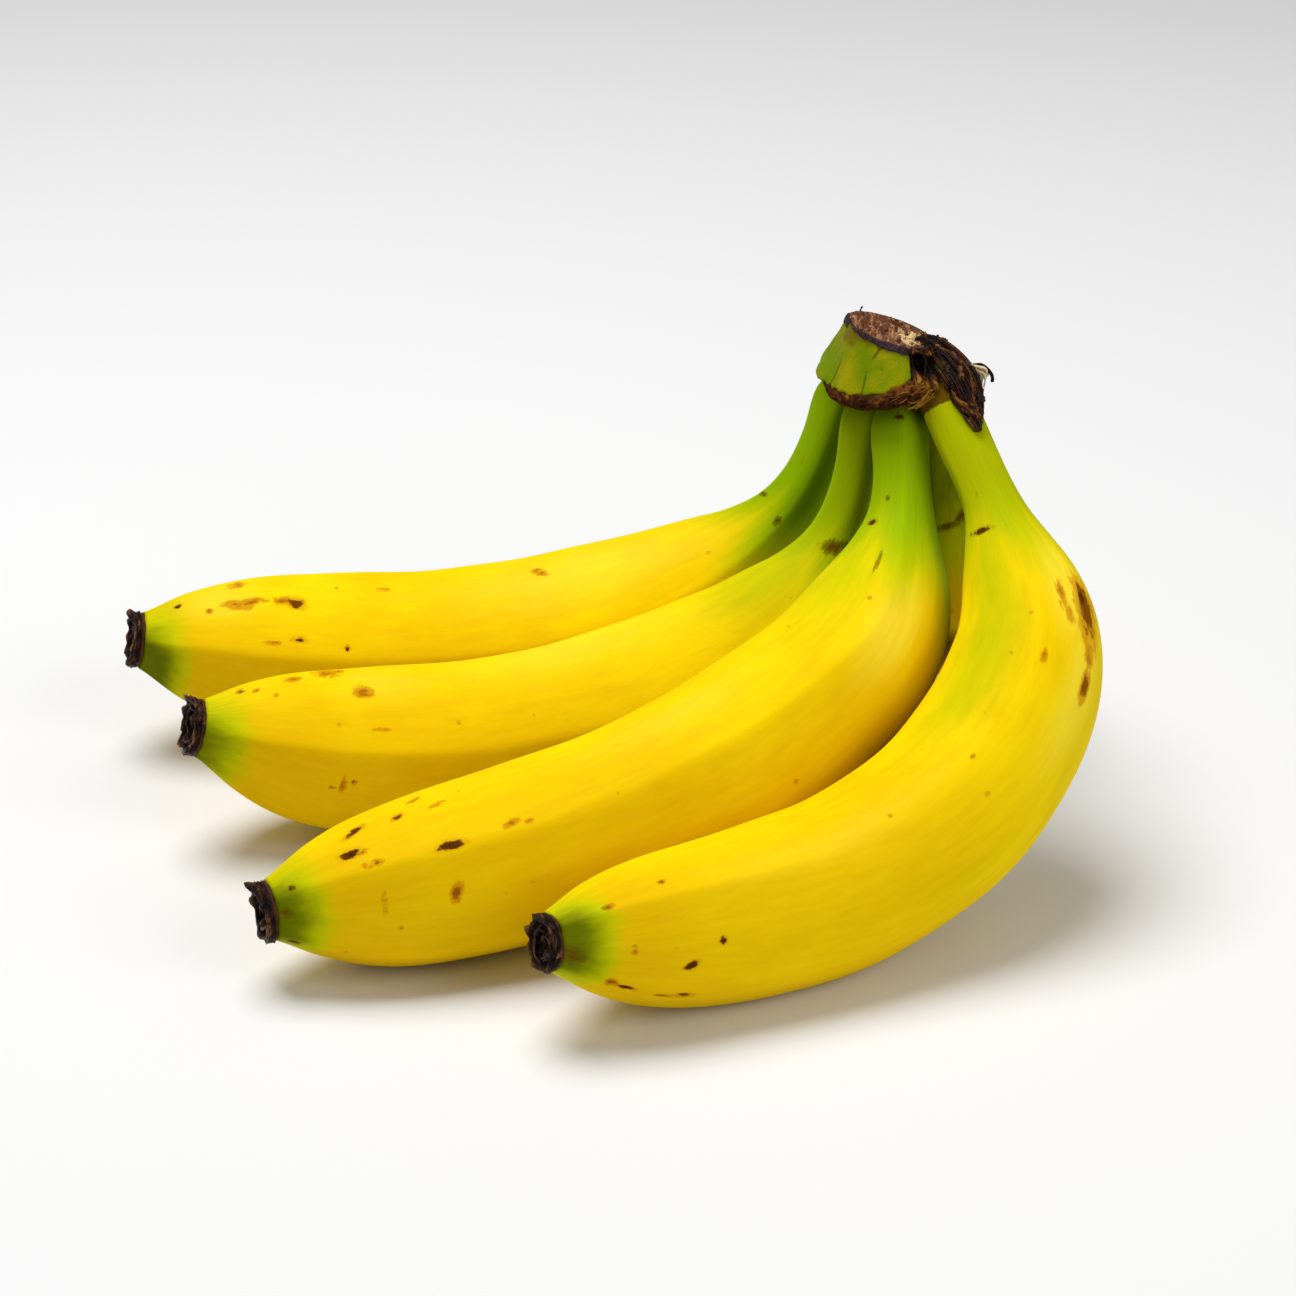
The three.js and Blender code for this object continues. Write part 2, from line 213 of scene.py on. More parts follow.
# How far the green skin stands out from a straight side, at shares of the crown's height.
SKIN_SWELL = ((0, 0.4), (0.08, 1.0), (0.15, 1.1), (0.3, 0.7), (0.55, 0.4), (0.8, 0.3), (1, 0.2))
# Lobes of the skin over the roots and thin creases between them: degrees round the crown,
# half width in degrees, and how far they stand out or go in.
CROWN_LOBES = ((-128, 12, 0.6), (-94, 14, 0.5), (170, 16, 0.1), (130, 14, 0.6), (85, 18, 0.6))
CROWN_CREASES = ((-110, 2.2, 0.25), (-148, 2.2, 0.3), (150, 3, 0.4), (108, 3, 0.4))
# The cut's pale pith and the hole in it: middle and half sizes in millimetres.
PITH_AT, PITH_HALF = (74.0, 35.0), (3.4, 8.0)
HOLE_AT, HOLE_HALF = (73.0, 37.5), (0.9, 2.4)
# The skin is torn away between these degrees round the crown, and the sheath lies there.
TORN_FROM, TORN_TO = -78.5, 34
SHEATH_FROM, SHEATH_TO = -79, 33
SHEATH_THICKNESS = 1.2 * MM
# The sheath's hollow, painted dark as shade, and its golden patch: middle and half sizes in
# degrees round the crown and as a share of its height.
HOLLOW_AT, HOLLOW_HALF = (-59, 0.70), (20, 0.19)
GOLD_AT, GOLD_HALF = (-66, 0.30), (14, 0.22)
# The top edge of the dry lip round the foot, as a share of the crown's height, by degrees.
LIP_TOP = (
    (-205, 0.05), (-180, 0.09), (-160, 0.11), (-140, 0.13), (-120, 0.15), (-110, 0.17),
    (-100, 0.21), (-90, 0.30), (-80, 0.42), (-72, 0.44), (-64, 0.40),
)

# How finely each piece is divided: points round it and the cuts at each round along it.
PEEL_CUTS = (15, 15)
BLOSSOM_SIDES, BLOSSOM_CUTS = 96, (9, 5)
CROWN_SIDES, CROWN_CUTS = 240, (11, 5)
LIP_SIDES, LIP_CUTS = 26, (15, 15)
FLAP_SIDES, FLAP_CUTS = 90, (15, 7)
SHEATH_COLUMNS, SHEATH_ROWS = 150, 60
STRAND_SIDES, STRAND_CUTS = 6, (13,)
PATH_POINTS = 6    # on a curled strand's path

# Loose dry fibres: curls in each blossom end, the tuft, and those on and across the lip.
CURL_COUNT, TUFT_COUNT, LIP_FIBRE_COUNT, FRAY_COUNT = 9, 52, 12, 9
# Where they are, in millimetres.
TUFT_AT = (86.6, 23.0, 102.6)
DARK_CURL = ((87.4, 23, 103.4), (89.2, 23, 103.4), (90.7, 23, 102.3), (91.8, 23, 100.6), (91.9, 23, 99.2))
FRAY_FROM, FRAY_TO = (71.6, 11.4, 96.6), (77.6, 12.2, 100.4)
# Seeds of the random draws.
CURL_SEED, STRAND_SEED, FIBRE_SEED = 70, 7, 11

# The torn flap's middle line in millimetres, with its half width and half thickness.
FLAP = (
    ((74.5, 33.5, 105.2), 3.6, 1.2), ((77.5, 30.0, 104.6), 4.4, 1.6), ((81.2, 24.5, 102.9), 4.7, 1.9),
    ((84.4, 18.5, 100.2), 4.5, 1.8), ((86.2, 13.4, 96.8), 3.3, 1.5), ((87.7, 9.0, 92.6), 0.9, 0.9),
)


def colour(name, description, default):
    """A colour that a user may change."""
    return FloatVectorProperty(
        name=name, description=description, default=default, size=3, min=0, max=1, subtype="COLOR")


class PeelSettings(bpy.types.PropertyGroup):
    """Sizes and colours of the peel."""

    ridge_depth: FloatProperty(
        name="Ridge depth", description="How far the five ridges stand out of a round section",
        default=0.46, min=0, max=1, subtype="FACTOR")
    sides: IntProperty(name="Sides", description="Points round a finger", default=140, min=20)
    ripe: colour("Ripe", "Colour of the ripe peel", (0.91, 0.66, 0.0015))
    deep: colour("Deep", "Colour of the deeper patches", (0.86, 0.56, 0.001))
    # The colour of the painted sheen.
    pale: colour("Pale", "Colour of the paler bloom", (0.95, 0.74, 0.035))
    lime: colour("Lime", "Colour where green turns to yellow", (0.52, 0.54, 0.001))
    # The colour of the painted shade on the facets below.
    underside_shade_colour: colour("Underside", "Colour of the facets below", (0.72, 0.42, 0.001))
    # The tip's own dark green, also used as painted shade on the facets below and on the back finger's neck.
    olive: colour("Olive", "Colour round the blossom ends", (0.125, 0.152, 0.001))
    green: colour("Green", "Colour of the green necks", (0.25, 0.42, 0.001))
    brown: colour("Brown", "Colour of the scuffs", (0.10, 0.026, 0.002))


class CrownSettings(bpy.types.PropertyGroup):
    """Sizes and colours of the crown and its torn sheath."""

    lip_thickness: FloatProperty(
        name="Lip thickness", description="Half the thickness of the lip round the foot",
        default=1.5 * MM, min=0, unit="LENGTH")
    strand_count: IntProperty(name="Strands", description="Dry strands on the torn sheath", default=84, min=0)
    green: colour("Green", "Colour of the crown's skin", (0.145, 0.225, 0.001))
    cut: colour("Cut", "Colour of the dried cut", (0.35, 0.157, 0.073))
    rim: colour("Rim", "Colour of the cut's dried rim", (0.030, 0.018, 0.020))
    tissue: colour("Tissue", "Colour of the dry torn tissue", (0.050, 0.014, 0.003))
    golden: colour("Golden", "Colour of the lighter strands", (0.28, 0.13, 0.010))


class BlossomSettings(bpy.types.PropertyGroup):
    """Sizes and colours of the dried blossom ends."""

    length: FloatProperty(
        name="Length", description="How far the end stands out of the peel",
        default=3.9 * MM, min=0, unit="LENGTH")
    roughness: FloatProperty(
        name="Roughness", description="Depth of its lumps and folds", default=0.75 * MM, min=0, unit="LENGTH")
    dark: colour("Dark", "Colour of the dried end", (0.006, 0.002, 0.001))
    # The colour of the rubbed folds, also used for the painted highlight on the rims and on the shiny curled
    # strands.
    light: colour("Light", "Colour of its worn folds", (0.21, 0.09, 0.035))


class StageSettings(bpy.types.PropertyGroup):
    """The camera, the lights and the floor."""

    distance: FloatProperty(
        name="Distance", description="From the camera to its target", default=0.8, min=0.1, unit="LENGTH")
    elevation: FloatProperty(
        name="Elevation", description="The camera's height above the horizon",
        default=math.radians(24), subtype="ANGLE")
    lens: FloatProperty(name="Lens", description="Focal length on a 36 mm sensor", default=96.2, min=10)
    key_power: FloatProperty(
        name="Key light", description="Power of the light overhead", default=15.8, min=0, unit="POWER")
    fill_power: FloatProperty(
        name="Fill light", description="Power of the light on the right", default=5.6, min=0, unit="POWER")
    sky: FloatProperty(name="Sky", description="Strength of the light from all round", default=0.27, min=0)
    floor: colour("Floor", "Colour of the floor", (0.79, 0.79, 0.79))


# ------------------------------------------------------------------ modelling by hand

def start_clean():
    """Leaves edit mode with nothing selected."""
    if bpy.context.object and bpy.context.object.mode != "OBJECT":
        bpy.ops.object.mode_set(mode="OBJECT")
    bpy.ops.object.select_all(action="DESELECT")


SAME_HEIGHT = 1e-6


def divided_cylinder(name, sides, cuts):
    """A closed cylinder of radius 1 from z = 0 to 1, its wall cut into rings; cuts lists
    the number of cuts at each round."""
    start_clean()
    bpy.ops.mesh.primitive_cylinder_add(
        vertices=sides, radius=1, depth=1, location=(0, 0, 0.5), end_fill_type="TRIFAN")
    piece = bpy.context.object
    piece.name = name
    bpy.ops.object.transform_apply(location=True, rotation=True, scale=True)
    bpy.ops.object.mode_set(mode="EDIT")
    bpy.ops.mesh.select_mode(type="EDGE")
    for count in cuts:
        bpy.ops.mesh.select_all(action="DESELECT")
        bm = bmesh.from_edit_mesh(piece.data)
        for edge in bm.edges:
            a, b = edge.verts
            edge.select = abs(a.co.z - b.co.z) > SAME_HEIGHT
        bm.select_flush_mode()
        bmesh.update_edit_mesh(piece.data)
        bpy.ops.mesh.subdivide(number_cuts=count)
    bpy.ops.object.mode_set(mode="OBJECT")
    return piece


def divided_grid(name, columns, rows):
    """A flat sheet from 0 to 1 each way."""
    start_clean()
    bpy.ops.mesh.primitive_grid_add(
        x_subdivisions=columns, y_subdivisions=rows, size=1, location=(0.5, 0.5, 0))
    piece = bpy.context.object
    piece.name = name
    bpy.ops.object.transform_apply(location=True, rotation=True, scale=True)
    return piece


def places_of(piece):
    """Where a piece's points are, a row for each."""
    co = np.empty(len(piece.data.vertices) * 3)
    piece.data.vertices.foreach_get("co", co)
    return co.reshape(-1, 3)


def move_to(piece, co):
    """Moves a piece's points to new places in metres."""
    piece.data.vertices.foreach_set("co", np.ascontiguousarray(co, dtype=float).ravel())
    piece.data.update()


def round_places(piece):
    """Where the points of a plain cylinder are: how far along it, their angles round it and
    how far from its middle line."""
    co = places_of(piece)
    return np.clip(co[:, 2], 0, 1), np.arctan2(co[:, 1], co[:, 0]), np.hypot(co[:, 0], co[:, 1])


def note(piece, **named):
    """Keeps values or vectors for the points under their names, for the finish to read."""
    for name, values in named.items():
        values = np.asarray(values, dtype=float)
        kind, key = ("FLOAT", "value") if values.ndim == 1 else ("FLOAT_VECTOR", "vector")
        layer = piece.data.attributes.new(name, kind, "POINT")
        layer.data.foreach_set(key, values.ravel())


def polished(piece, finish, slot, *nodes, outward=False):
    """Gives a finished piece its finish, hangs it from the root body and hides the parts it stands in for."""
    start_clean()
    piece.select_set(True)
    bpy.context.view_layer.objects.active = piece
    if outward:
        bpy.ops.object.mode_set(mode="EDIT")
        bpy.ops.mesh.select_all(action="SELECT")
        bpy.ops.mesh.normals_make_consistent(inside=False)
        bpy.ops.object.mode_set(mode="OBJECT")
    bpy.ops.object.shade_smooth()
    piece.data.materials.clear()
    piece.data.materials.append(finish)
    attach(piece, "root")
    if nodes:
        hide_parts(*nodes)
    return piece


def rise(x, low, high):
    """0 below low, 1 above high and smooth between them."""
    t = np.clip((np.asarray(x, dtype=float) - low) / (high - low), 0, 1)
    return t * t * (3 - 2 * t)


def fall(x, low, high):
    """1 below low, 0 above high and smooth between them."""
    return 1 - rise(x, low, high)


def hump(x, middle, half):
    """1 at the middle, fading on both sides of it over the half width."""
    return np.exp(-((x - middle) / half) ** 2)


def value_along(pairs, place):
    """A smooth value through (place, value) pairs, with slopes from the neighbours."""
    x, y = np.array(pairs, dtype=float).T
    last = len(x) - 1
    slope = np.array([
        (y[min(i + 1, last)] - y[max(i - 1, 0)]) / (x[min(i + 1, last)] - x[max(i - 1, 0)])
        for i in range(last + 1)])
    k = np.clip(np.searchsorted(x, place, side="right") - 1, 0, last - 1)
    width = x[k + 1] - x[k]
    t = (place - x[k]) / width
    return (y[k] * (1 + 2 * t) * (1 - t) ** 2 + y[k + 1] * t * t * (3 - 2 * t)
            + width * (slope[k] * t * (1 - t) ** 2 - slope[k + 1] * t * t * (1 - t)))


def curve_through(points, place):
    """Points and directions on a smooth curve through the points, at places 0 to 1."""
    p = np.array(points, dtype=float)
    q = np.vstack([2 * p[0] - p[1], p, 2 * p[-1] - p[-2]])
    x = np.clip(place, 0, 1) * (len(p) - 1)
    k = np.clip(np.floor(x).astype(int), 0, len(p) - 2)
    t = (x - k)[:, None]
    a, b, c, d = q[k], q[k + 1], q[k + 2], q[k + 3]
    m0, m1 = (c - a) / 2, (d - b) / 2
    point = (b * (1 + 2 * t) * (1 - t) ** 2 + c * t * t * (3 - 2 * t)
             + m0 * t * (1 - t) ** 2 - m1 * t * t * (1 - t))
    along = (b * (6 * t * t - 6 * t) + c * (6 * t - 6 * t * t)
             + m0 * (3 * t * t - 4 * t + 1) + m1 * (3 * t * t - 2 * t))
    return point, unit(along)


def unit(v):
    """The same directions with a length of 1."""
    return v / np.maximum(np.linalg.norm(v, axis=-1, keepdims=True), 1e-12)


def vectors(x, y, z):
    """Rows of x, y and z."""
    return np.stack(np.broadcast_arrays(x, y, z), axis=-1)


def around(line, reach, angle, out, side):
    """Points at their reach from a line, at angles turning from out towards side."""
    return line + (reach * np.cos(angle))[:, None] * out + (reach * np.sin(angle))[:, None] * side


def rough(points, scale, seed, octaves=3):
    """Fractal noise at points in millimetres; a scale of 1 gives lumps of about 1 mm."""
    shift = Vector((seed * 17.3, seed * 5.1, seed * 9.7))
    return np.array([
        noise.fractal(Vector(p) * scale + shift, 0.8, 2.1, octaves) for p in points])


def patch(x, y, middle, half, power):
    """1 in the middle of a patch, fading over its half sizes, more sharply with more power."""
    return np.exp(-((x - middle[0]) / half[0]) ** power - ((y - middle[1]) / half[1]) ** power)


def bump_at(degrees, where, width):
    """A soft bump, 1 at one angle and fading away from it over the width, in degrees."""
    away = np.mod(degrees - where + 180, 360) - 180
    return np.exp(-(away / width) ** 2)


# ------------------------------------------------------------------ fingers

def spine_at(finger, place):
    """The spine's point and the directions across it: out is the bend's convex back."""
    p = np.array(finger["spine"], dtype=float)
    point, along = curve_through(p, place)
    point = point + along * (np.maximum(place - 1, 0) * length_of(finger))[:, None]
    bend = unit(np.cross(p[3] - p[0], p[6] - p[0]))
    out = unit(np.cross(np.broadcast_to(bend, along.shape), along))
    return point, along, out, np.cross(along, out)


def finger_radius(finger, place):
    """The finger's mean radius in millimetres, slimmer or stouter at its neck."""
    shifted = place + finger["early"] * place * (1 - place) ** 3
    body = rise(shifted, NECK_FROM, NECK_TO)
    return finger["girth"] * value_along(FINGER_PROFILE, shifted) * (
        finger["neck"] + (1 - finger["neck"]) * body)


def five_sided(turn):
    """A rounded five-sided section, a little over 1 on its ridges and 1 on its flats."""
    total = 0
    for k in range(RIDGES):
        flat = math.radians(36 + 72 * k)
        total = total + np.maximum(np.cos(turn - flat), 0) ** RIDGE_SHARPNESS
    return total ** (-1 / RIDGE_SHARPNESS)


FULL_TURN = np.linspace(0, 2 * math.pi, 720, endpoint=False)
SECTION_MEAN = float(np.mean(five_sided(FULL_TURN)))


def finger_surface(number, place, angle, grow=0.0):
    """Points on a finger's peel, in millimetres, at places along it and angles round."""
    finger = FINGERS[number]
    peel = bpy.context.scene.hand_peel
    point, _, out, side = spine_at(finger, place)
    section = five_sided(angle - math.radians(finger["roll"]))
    depth = peel.ridge_depth * (1 + 0.35 * rise(place, 0.80, 0.95))
    for degrees, start, end, soft in SOFT_RIDGES.get(number, ()):
        stretch = rise(place, start, start + 0.1) * fall(place, end - 0.1, end)
        depth = depth * (1 - soft * stretch * bump_at(np.degrees(angle), degrees, 38))
    # Fingers are never quite regular: slow swells along and round them.
    swell = (0.010 * np.sin(9 * place + 2.1 * number + 2 * angle)
             + 0.007 * np.sin(23 * place + number + 3 * angle)
             + 0.004 * np.sin(47 * place - 2 * number + angle))
    swell = swell * rise(place, 0.1, 0.3) * fall(place, 0.9, 1.0)
    # The root tucks into the crown, with a rounded shoulder just under the lip.
    if number == 4:
        flare = 0.36 * bump_at(np.degrees(angle), 15, 60) * fall(place, 0.06, 0.17)
    else:
        flare = 0.07 * hump(place, 0.072, 0.02) - 0.5 * fall(place, 0.022, 0.062)
    reach = finger_radius(finger, place) * (1 + depth * (section - SECTION_MEAN) + swell + flare) + grow
    return around(point, reach, angle, out, side), reach


def length_of(finger):
    """The spine's length in millimetres."""
    point, _ = curve_through(finger["spine"], np.linspace(0, 1, 400))
    return float(np.sum(np.linalg.norm(np.diff(point, axis=0), axis=1)))


def mark_field(number, place, angle, reach):
    """How near each point is to a blemish, near 1 in the middle of a dark one and 0 away,
    and how dark the nearest one is."""
    long = length_of(FINGERS[number])
    nearest, best, darkness = np.zeros(len(place)), np.full(len(place), 1e9), np.zeros(len(place))
    for at, degrees, half_long, half_wide, slant, dark in SCUFFS[number]:
        dx = (place - at) * long
        dy = (np.mod(angle - math.radians(degrees) + math.pi, 2 * math.pi) - math.pi) * reach
        c, s = math.cos(math.radians(slant)), math.sin(math.radians(slant))
        far = np.hypot((c * dx + s * dy) / half_long, (c * dy - s * dx) / half_wide)
        field = np.clip(1.1 - 0.42 * far, 0, 1) * (0.45 + 0.55 * dark)
        nearest = np.maximum(nearest, field)
        darkness = np.where(far < best, dark, darkness)
        best = np.minimum(best, far)
    return nearest, darkness


def closeness(number, p):
    """How close each point in millimetres is to another finger's peel: 1 where they touch."""
    close = np.zeros(len(p))
    place = np.linspace(0.03, 0.97, 90)     # close enough together to measure a gap from
    for other, finger in FINGERS.items():
        if other == number:
            continue
        spine, _ = curve_through(finger["spine"], place)
        reach = finger_radius(finger, place)
        gap = np.min(np.linalg.norm(p[:, None, :] - spine[None], axis=2) - reach[None], axis=1)
        close = np.maximum(close, hump(np.maximum(gap, 0), 0, CLOSE_GAP))
    return close


def contact_shade(number, place, degrees, p):
    """How deep the shade is between the fingers and where a root goes into the crown."""
    root_to = ROOT_SHADE_TO[number]
    shade = np.maximum(0.9 * closeness(number, p), fall(place, root_to - 0.015, root_to))
    for where, wide, starts, fades, strength in SHADES[number]:
        stretch = strength * bump_at(degrees, where, wide) * rise(place, *starts) * fall(place, *fades)
        shade = np.maximum(shade, stretch)
    return shade


def greenness(number, place, degrees):
    """How green the peel is: at the neck, in drifts down the shoulder, and a little at the tip."""
    finger = FINGERS[number]
    ridge = np.cos(np.radians(RIDGES * (degrees - finger["roll"])))
    inner = 0.5 - 0.5 * np.cos(np.radians(degrees))
    reach_down = finger["green_to"] + 0.022 * ridge + 0.03 * inner
    green = finger["unripe"] * fall(place, reach_down - 0.13, reach_down + 0.075)
    for where, wide, end, strength in LIME_DRIFTS[number]:
        drift = strength * bump_at(degrees, where, wide) * fall(place, end - 0.32, end)
        green = np.maximum(green, drift)
    return np.maximum(green, 0.30 * rise(place, 0.94, 0.985))


def pressed_flat(height):
    """Heights in millimetres, with those at the surface pressed on to it with a soft edge."""
    soft = 0.45 * (height + np.sqrt(height ** 2 + PRESSED_EDGE)) + 0.1 * height
    return np.maximum(np.where(height < PRESSED_FROM, np.maximum(soft, 0), height), 0)


def make_finger(number, finish):
    """One banana's peel, from its root in the crown to its edge at the blossom end."""
    finger = FINGERS[number]
    piece = divided_cylinder(f"peel_{number}", bpy.context.scene.hand_peel.sides, PEEL_CUTS)
    t, angle, rim = round_places(piece)
    place = t * PEEL_END
    degrees = np.degrees(angle)
    _, reach = finger_surface(number, place, angle)
    scuff, darkness = mark_field(number, place, angle, reach)
    p, _ = finger_surface(number, place, angle, grow=-SCUFF_DEPTH * rise(scuff, 0.4, 0.9))
    # Its end is hollow under the blossom end.
    middle = spine_at(finger, place - HOLLOW * (place > 0.5))[0]
    p = np.where((rim < AT_MIDDLE)[:, None], middle, p)
    p[:, 2] = pressed_flat(p[:, 2])
    move_to(piece, p * MM)

    below = 0.5 + 0.5 * np.cos(angle - math.radians(BELOW_AT))
    # Round the tip the peel turns its own dark green, made deeper on the facets below as painted shade.
    olive = rise(place, 0.970 - 0.036 * below, 1.008) * (0.05 + 0.97 * below ** 1.5)
    # Painted shade: the facets that face down turn to a darker, deeper colour from the middle of the finger
    # on, most near the tip.
    painted_underside_shade = rise(below, 0.35, 0.85) * rise(place, 0.4, 0.65) * (0.75 + 0.45 * rise(place, 0.84, 0.95))
    if number == 5:     # the one behind gets painted shade all along its near side
        olive = np.maximum(olive, 0.85 * fall(place, 0.14, 0.32))
        painted_underside_shade = np.maximum(painted_underside_shade, fall(place, 0.4, 0.7))
    # Painted sheen: pale highlights where the light falls brightest.
    bloom = np.zeros(len(place))
    for at, where, half_long, wide, strength in PAINTED_SHEENS.get(number, ()):
        bloom = np.maximum(bloom, strength * bump_at(degrees, where, wide) * hump(place, at, half_long))
    # The fourth finger's neck has dried brown under the flap.
    dried_to = 0.041 + 0.004 * bump_at(degrees, 200, 60)
    # The peel's pattern lies along the finger as if it were straight.
    along = place * (length_of(finger) * MM) + 0.6 * number
    note(
        piece, straight=vectors(PATTERN_RADIUS * np.cos(angle), PATTERN_RADIUS * np.sin(angle), along),
        green=greenness(number, place, degrees), olive=olive * finger["tip"], below=painted_underside_shade,
        shade=contact_shade(number, place, degrees, p), scuff=scuff, darkness=darkness, bloom=bloom,
        crust=rise(place, 1.002, PEEL_END),
        dried=fall(place - dried_to, -0.004, 0.004) * (number == 4))
    return polished(piece, finish, "peel", f"banana_{number}")


# ------------------------------------------------------------------ blossom ends

def make_blossom_end(number, finish):
    """The dried end of one banana's blossom, with curled strands and spurs."""
    finger = FINGERS[number]
    blossom = bpy.context.scene.hand_blossom
    piece = divided_cylinder(f"tip_{number}", BLOSSOM_SIDES, BLOSSOM_CUTS)
    t, angle, rim = round_places(piece)
    degrees = np.degrees(angle)
    size = float(finger_radius(finger, np.array([1.0]))[0]) / BLOSSOM_SIZE
    long = blossom.length / MM
    # From the peel's edge up a crusty wall, over a rolled lip and down into the open cup.
    reach = value_along((
        (0, 0.5), (0.07, 1.5), (0.16, 0.55 * long), (0.27, 0.78 * long), (0.36, 0.96 * long),
        (0.42, long), (0.48, 0.95 * long), (0.58, 0.62 * long), (0.70, 0.40 * long),
        (0.85, 0.30 * long), (1, 0.36 * long)), t)
    wide = value_along(
        ((0, 4.4), (0.07, 5.9), (0.16, 6.15), (0.27, 6.1), (0.36, 5.95), (0.42, 5.55), (0.48, 5.1),
         (0.58, 4.6), (0.70, 3.6), (0.85, 2.0), (1, 0.15)), t)
    wide = np.where(rim < AT_MIDDLE, 0, wide)
    point, along, out, side = spine_at(finger, np.array([1.0]))
    lobe = sum(
        height * bump_at(degrees, where, 180 / narrow) for where, height, narrow in BLOSSOM_LOBES[number])
    on_rim = hump(t, 0.40, 0.14)
    ragged = 0.35 * np.sin(5 * angle + number) + 0.28 * np.sin(9 * angle + 2 * number)
    wide = wide + on_rim * (0.30 * lobe + 0.4 * ragged)
    reach = reach + on_rim * (lobe + 0.6 * ragged)
    p = around(point + (reach * size)[:, None] * along, wide * size, angle, out, side)
    radial = unit(
        np.cos(angle)[:, None] * out + np.sin(angle)[:, None] * side + 0.5 * on_rim[:, None] * along)
    flow = vectors(np.cos(angle) * wide, np.sin(angle) * wide, reach * 2.2)
    lump = rough(flow, 0.42, number, 4)
    curl = rough(flow * np.array([0.5, 0.5, 1.6]), 0.9, number + 20, 4)
    keep = rise(t, 0.04, 0.18) * np.where(rim < AT_MIDDLE, 0, 1)
    inside = rise(t, 0.48, 0.58)
    push = (blossom.roughness / MM) * (0.7 * lump + 0.55 * curl) * keep
    p = p + radial * (push * (1 - inside))[:, None] + along * (1.6 * push * inside)[:, None]
    p[:, 2] = np.maximum(p[:, 2], 0.05)
    move_to(piece, p * MM)
    # Lighter where the folds stand out and on the rim, darker inside the cup: rubbed folds, with a painted
    # highlight on the rim and painted shade in the cup.
    worn_and_lit = 0.36 + 0.8 * lump + 0.55 * curl + 0.3 * on_rim - 0.42 * inside
    note(piece, wear=np.clip(worn_and_lit, 0, 1.2), crust=hump(t, 0.13, 0.08), flow=flow * MM)
    # Curled dry strands lie in the cup, and spurs stand out from its edge.
    rng = random.Random(CURL_SEED + number)
    pieces = [piece]
    for k in range(CURL_COUNT):
        turn = rng.uniform(0, 2 * math.pi) + drifting(rng, 0.9, 2.4)
        ring = rng.uniform(2.0, 4.7) + drifting(rng, -1.2, 0.6)
        lift = rng.uniform(0.5, 0.9) * long + 0.5 * np.sin(turn * 2 + k)
        path = around(point + (lift * size)[:, None] * along, ring * size, turn, out, side)
        # Each curl is lighter, a painted highlight along it.
        pieces.append(strand(f"curl_{number}_{k}", path, (0.12, 0.36, 0.3, 0.1), wear=rng.uniform(0.5, 1.15)))
    for where, reach_out, thick in BLOSSOM_SPURS[number]:
        turn = math.radians(where)
        away = math.cos(turn) * out[0] + math.sin(turn) * side[0]
        foot = point[0] + along[0] * (0.7 * long * size) + away * (4.9 * size)
        bend = foot + along[0] * (0.75 * reach_out) + away * (0.25 * reach_out)
        end = foot + along[0] * reach_out + away * (0.75 * reach_out)
        end[2] = max(end[2], 0.6)
        radii = (thick, 0.85 * thick, 0.95 * thick, 0.5 * thick)
        pieces.append(strand(f"spur_{number}_{where}", (foot, bend, end), radii, wear=0.35))
    return polished(joined(f"tip_{number}", pieces), finish, "blossom_end", f"blossom_end_{number}")


# ------------------------------------------------------------------ strands

ODD_WAY = np.array([0.31, 0.22, 0.93])      # a direction that no strand follows


def strand(name, points, radii, **notes):
    """A thin tapering strand along a smooth curve through points in millimetres, with a
    radius at each of some even steps along it."""
    piece = divided_cylinder(name, STRAND_SIDES, STRAND_CUTS)
    t, angle, rim = round_places(piece)
    point, along = curve_through(points, t)
    helper = unit(np.cross(along, ODD_WAY))
    other = np.cross(along, helper)
    radius = np.interp(t, np.linspace(0, 1, len(radii)), radii) * np.minimum(rim, 1)
    p = around(point, radius, angle, helper, other)
    move_to(piece, p * MM)
    note(piece, flow=p * MM, **{key: np.full(len(p), value) for key, value in notes.items()})
    return piece


def scattered(rng, *spans):
    """A random vector, each part of it within its span."""
    return np.array([rng.uniform(*span) for span in spans])


def drifting(rng, low, high):
    """An even drift along a path, from 0 to a random end between low and high."""
    return np.linspace(0, rng.uniform(low, high), PATH_POINTS)


def joined(name, pieces):
    """The pieces made into one."""
    start_clean()
    for piece in pieces:
        piece.select_set(True)
    bpy.context.view_layer.objects.active = pieces[0]
    bpy.ops.object.join()
    pieces[0].name = name
    return pieces[0]


# ------------------------------------------------------------------ crown

def middle_of(oval):
    """The middle of the crown's foot or cut."""
    return np.array([oval[axis] for axis in "xyz"])


def ellipse_point(oval, angle, margin):
    """Points round the crown's foot or cut, a margin in millimetres outside it."""
    turn = math.radians(CROWN_TURN)
    a = angle - turn
    long, wide = oval["long"] + margin, oval["wide"] + margin
    reach = (long * wide) / np.hypot(wide * np.cos(a), long * np.sin(a))
    dx, dy = reach * np.cos(angle), reach * np.sin(angle)
    return vectors(
        oval["x"] + dx, oval["y"] + dy, oval["z"] + oval["slope_x"] * dx + oval["slope_y"] * dy)


def crown_point(degrees, height, margin):
    """A point on the crown's side: height is 0 at its foot and 1 at its cut."""
    angle, margin = np.radians(degrees), np.asarray(margin, dtype=float)
    low = ellipse_point(CROWN_FOOT, angle, margin)
    high = ellipse_point(CROWN_CUT, angle, margin)
    return low + (high - low) * np.asarray(height)[..., None]


def lip_top(degrees):
    """The height of the lip's top edge all round the crown."""
    start, end = LIP_TOP[0][0], LIP_TOP[-1][0]
    degrees = np.mod(degrees - start, 360) + start
    in_front = value_along(LIP_TOP, np.minimum(degrees, end))
    return np.where(degrees < end, in_front, 0.40 - 0.35 * rise(degrees, end, end + 200))


